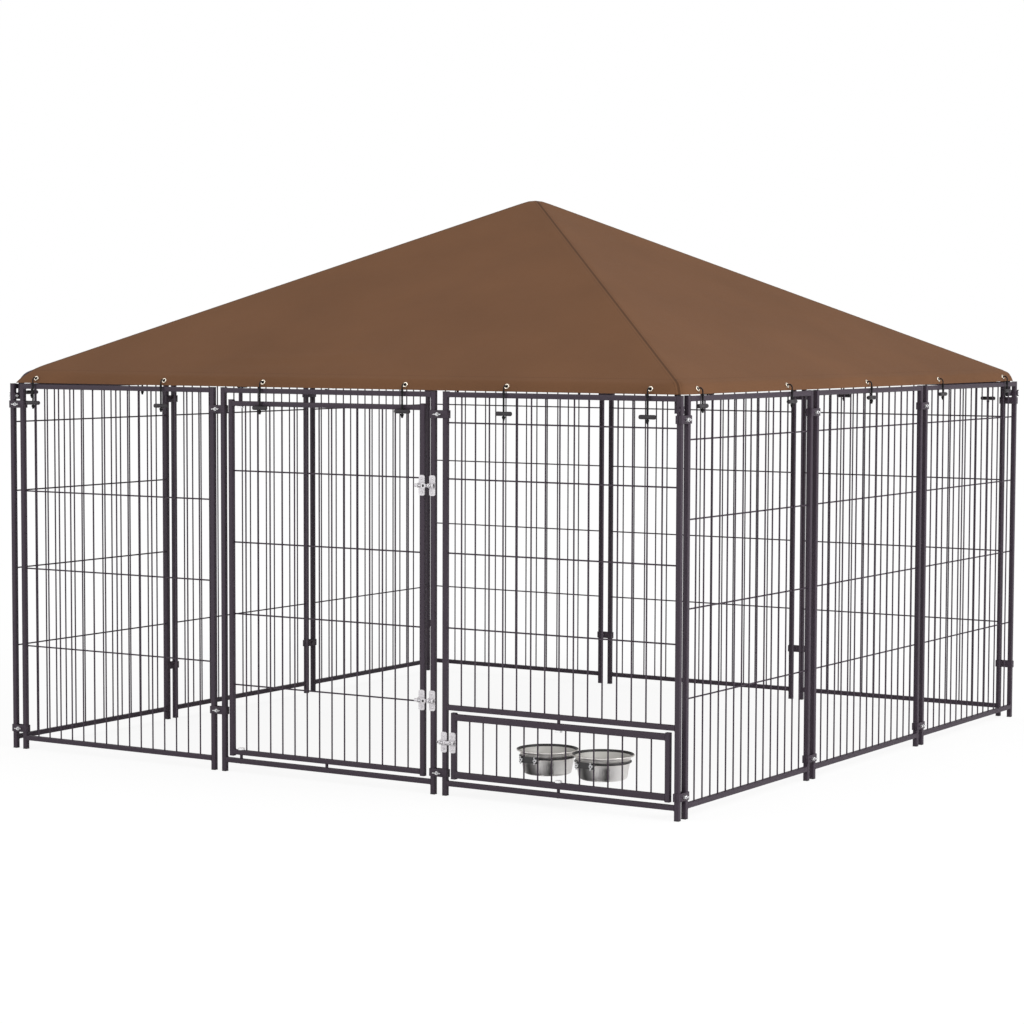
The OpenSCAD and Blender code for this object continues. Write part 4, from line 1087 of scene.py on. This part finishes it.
# %% Spin the bowls
BOWL_T = 0.001
WALL_R, FOOT_R, CORNER_R = 0.069, 0.053, 0.008
STEP_OUT, STEP_IN, STEP_H = 0.034, 0.030, 0.0012
CURL_R = 0.002
for name in ("left_bowl", "right_bowl"):
    low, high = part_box(name)
    axis = Vector(((low.x + high.x)/2, (low.y + high.y)/2, low.z))
    tall, rim = high.z - low.z, (high.x - low.x)/2
    turn = arc(FOOT_R, CORNER_R, CORNER_R, -pi/2, 0.46*pi, 8)
    curl = arc(rim - CURL_R, tall - CURL_R, CURL_R, -2.4, 1.55*pi, 10)
    outside = [(0, STEP_H), (STEP_IN, STEP_H), (STEP_OUT, 0.0), (FOOT_R, 0.0)] + turn[1:]
    outside += [(WALL_R, tall - 0.009), (WALL_R + 0.0034, tall - 0.0058)] + curl
    inside = [(WALL_R + 0.0040, tall - 0.0048), (WALL_R - BOWL_T, tall - 0.0086)]
    inside += [(r - BOWL_T, z + BOWL_T*0.4) for r, z in reversed(turn[1:])]
    inside += [(FOOT_R, BOWL_T), (STEP_OUT, BOWL_T), (STEP_IN, 0.0022), (0, 0.0022)]
    bm = lathe(outside + inside, move(axis), 96)
    print(name, "of", len(bm.faces), "faces")
    piece(name + "_spun", bm, bowl_steel(name + "_steel", axis, rim), [name], name, "bowl_steel", 60)

# %% [markdown]
# ## Bowl holders
# A wire ring carries each bowl under its rim. Two prongs reach forward, each on the left of a wire of the
# gate, and are clamped by a small plate with wing nuts.

# %% Rings, plates and nuts
RING_D = 0.004
PRONG_D = RING_D - 0.0005
PLATE_Y, PLATE_T, PLATE_EDGE = 0.0022, 0.002, 0.0006
PLATE_MARGIN, PLATE_HALF_H = 0.005, 0.0075
gate_low, gate_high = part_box("feeder_gate")
PRONG_X = (gate_high.x - gate_low.x - 2*TUBE)/(LEAF_BARS + 1)/2
STRAP = Vector((PRONG_X + RING_D/2 + PLATE_MARGIN, 0, PLATE_HALF_H))
bowl_nut = wing(0.005, 0.010, 0.010, 0.0024, 0.0044)
plates, nuts = bmesh.new(), bmesh.new()
for name in ("left_bowl", "right_bowl"):
    low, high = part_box(name + "_ring")
    bowl_low, bowl_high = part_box(name)
    axis = (bowl_low + bowl_high)/2
    axis.z = (low.z + high.z)/2
    ring_r = (high.x - low.x)/2 - RING_D/2
    bm = lathe(arc(ring_r, 0, RING_D/2, 0, 2*pi, 12)[:-1], move(axis), 72, True)
    for s in (-1, 1):
        tip = Vector((axis.x + s*PRONG_X, low.y, axis.z))
        rod(bm, tip, (tip.x, axis.y - sqrt(ring_r**2 - PRONG_X**2), tip.z), PRONG_D, 16)
    piece(name + "_ring_wire", bm, holder_paint, [name + "_ring"], "feeder_gate")
    at = Vector((axis.x, PLATE_Y - HALF, axis.z))
    block(plates, at - STRAP, at + STRAP + Vector((0, PLATE_T, 0)), PLATE_EDGE)
    shifts = [Vector((s*PRONG_X, 0, 0)) for s in (-1, 1)]
    stamp(bowl_nut, [move(at + shift) @ along_x for shift in shifts], nuts)
piece("bowl_clamp_straps", plates, holder_paint, ["bowl_clamp_plates"], "feeder_gate")
piece("bowl_wings", nuts, fastener_steel, ["bowl_wing_nuts"], "feeder_gate")
print("bowl rings of", round(2*ring_r, 4), "m")

# %% [markdown]
# ## Pivots
# The door leaf and the feeder gate turn on bolts. Their broad bright heads bear on the rails from inside the
# leaf, and their painted shanks cross the gap to the rail of the panel.

# %% Pivot bolts
PIVOT_D, PIVOT_REACH = 0.008, 0.020
DOOR_PIVOT = 0.035
pivot_head = lathe([(0, -0.005), (0.0080, -0.005), (0.0090, -0.0042), (0.0090, -0.0004), (0.0086, 0),
                    (0, 0)], steps=28)
pivots = [("door_leaf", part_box("door_leaf")[0].x + DOOR_PIVOT, DOOR_OVER, TUBE),
          ("feeder_gate", (gate_low.x + gate_high.x)/2, GATE_OVER, GATE_RAIL)]
heads, shanks = bmesh.new(), bmesh.new()
for node, x, over, rail_high in pivots:
    low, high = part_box(node)
    for z, s in ((high.z - over - rail_high - SEAT, 1), (low.z + over + rail_high + SEAT, -1)):
        at = on_face(0, x, MID, z)
        stamp(pivot_head, [at @ Matrix.Diagonal((1, 1, s, 1))], heads)
        end = on_face(0, x, MID, z + s*(rail_high + over + PIVOT_REACH))
        rod(shanks, at.translation, end.translation, PIVOT_D, 18)
# The pivot heads' near-white coat is partly a painted highlight.
piece("pivot_heads", heads, head_zinc_highlight, ["pivot_bolts"], slot="fastener_steel")
piece("pivot_shanks", shanks, frame_paint, slot="fastener_steel")
print(2*len(pivots), "pivot bolts")

# %% [markdown]
# ## Caps
# A moulded foot keeps each tube off the ground and a thin cap closes its top.

# %% Foot caps and top caps
TOP_CAP_H, FOOT_EDGE, TOP_EDGE = 0.0015, 0.0009, 0.0006
foot_cap, top_cap = bmesh.new(), bmesh.new()
block(foot_cap, (0, 0, 0), (TUBE, TUBE, FOOT), FOOT_EDGE)
block(top_cap, (0, 0, PANEL_H), (TUBE, TUBE, PANEL_H + TOP_CAP_H), TOP_EDGE)
places = [on_face(k, PANEL_X[i] + x) for k in range(4) for i in range(3) for x in (0, PANEL_W - TUBE)]
piece("foot_plugs", stamp(foot_cap, places), cap_plastic, ["foot_caps"])
piece("top_plugs", stamp(top_cap, places), cap_plastic, ["top_caps"])
print(len(places), "posts capped")

# %% [markdown]
# ## Pieces that keep their model shape
# The roof poles, elbows and hub sit under the cloth.
# They are plain shapes already, so they only take their material.

# %% Dress the rest
slots = {row["node"]: row["material_slot"] for row in frame["record"]["subparts"]}
dress = {"frame_paint": frame_paint, "fastener_steel": fastener_steel, "cap_plastic": cap_plastic}
kept = [n for n, o in frame["nodes"].items() if not o.hide_render]
for name in kept:
    node = frame["nodes"][name]
    node.data.materials.clear()
    node.data.materials.append(dress[slots[name]])
print("kept from the model:", ", ".join(sorted(kept)))

# %% [markdown]
# ## Studio
# A pale floor, a white surround and two large soft lamps give the even light of a catalogue picture.
# The floor is lightened for the camera alone, so that the shadow stays faint and the far floor melts into the
# white surround.

# %% Floor
WHITE = (1, 1, 1, 1)
FADE_START, FADE_END, NEAR_FADE = 2.2, 6.0, 0.88
floor_paint = coat("floor_paint", (0.93, 0.93, 0.93), 0.9, 20.0, 0.0, cloud=0.01)
tree = floor_paint.node_tree
reach = add(tree, "VectorMath", {"operation": "LENGTH"})
wire_in(reach.inputs[0], add(tree, "TexCoord").outputs["Object"])
far = add(tree, "MapRange", {"interpolation_type": "SMOOTHSTEP"}, Value=reach.outputs["Value"],
          From_Min=FADE_START, From_Max=FADE_END, To_Min=NEAR_FADE, To_Max=1.0)
shown = times(far, add(tree, "LightPath").outputs["Is Camera Ray"])
blend = add(tree, "MixShader", Fac=shown)
wire_in(blend.inputs[1], tree.nodes["Principled BSDF"])
wire_in(blend.inputs[2], add(tree, "Emission", Color=WHITE, Strength=1.0))
wire_in(tree.nodes["Material Output"].inputs["Surface"], blend)
floor_bm = bmesh.new()
bmesh.ops.create_grid(floor_bm, x_segments=1, y_segments=1, size=40.0)
floor_mesh = bpy.data.meshes.new("floor")
floor_bm.to_mesh(floor_mesh)
floor_mesh.materials.append(floor_paint)
floor = new_object("floor", floor_mesh)
floor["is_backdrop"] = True

# %% [markdown]
# ### Light
# The surround is white to the camera and lights the object a little more from above. The right slope of the
# roof faces the stronger lamp.

# %% Surround and lamps
SURROUND = 0.95
LOW_GLOW, HIGH_GLOW = (0.45, (0.62, 0.62, 0.63, 1)), (0.80, WHITE)
LAMPS = (("key", (7.2, -1.0, 5.2), 420, 4.0), ("fill", (-4.0, -7.0, 4.0), 130, 4.0))
LIT_POINT = Vector((0, 0, 0.6))
world = bpy.data.worlds.new("surround")
world.use_nodes = True
scene.world = world
tree = world.node_tree
tree.nodes.clear()
seen = add(tree, "Background", Color=WHITE, Strength=1.0)
sky = add(tree, "SeparateXYZ", Vector=add(tree, "TexCoord").outputs["Generated"])
glow = add(tree, "ValToRGB", Fac=times(plus(sky.outputs["Z"], 1.0), 0.5))
for stop, (position, color) in zip(glow.color_ramp.elements, (LOW_GLOW, HIGH_GLOW)):
    stop.position = position
    stop.color = color
lit = add(tree, "Background", Color=glow, Strength=SURROUND)
mixed = add(tree, "MixShader", Fac=add(tree, "LightPath").outputs["Is Camera Ray"])
wire_in(mixed.inputs[1], lit)
wire_in(mixed.inputs[2], seen)
add(tree, "OutputWorld", Surface=mixed)

for name, at, watts, size in LAMPS:
    lamp = bpy.data.lights.new(name, "AREA")
    lamp.energy = watts
    lamp.size = size
    holder = new_object(name, lamp)
    holder.location = at
    holder.rotation_euler = (LIT_POINT - Vector(at)).to_track_quat("-Z", "Y").to_euler()
    holder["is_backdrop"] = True
scene.view_settings.view_transform = "Standard"
print(len(LAMPS), "lamps")

# %% [markdown]
# ## Close
# The size of the dressed object is printed.

# %% Print the size and finish
low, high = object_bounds()
print("dressed box from", tuple(low), "to", tuple(high))
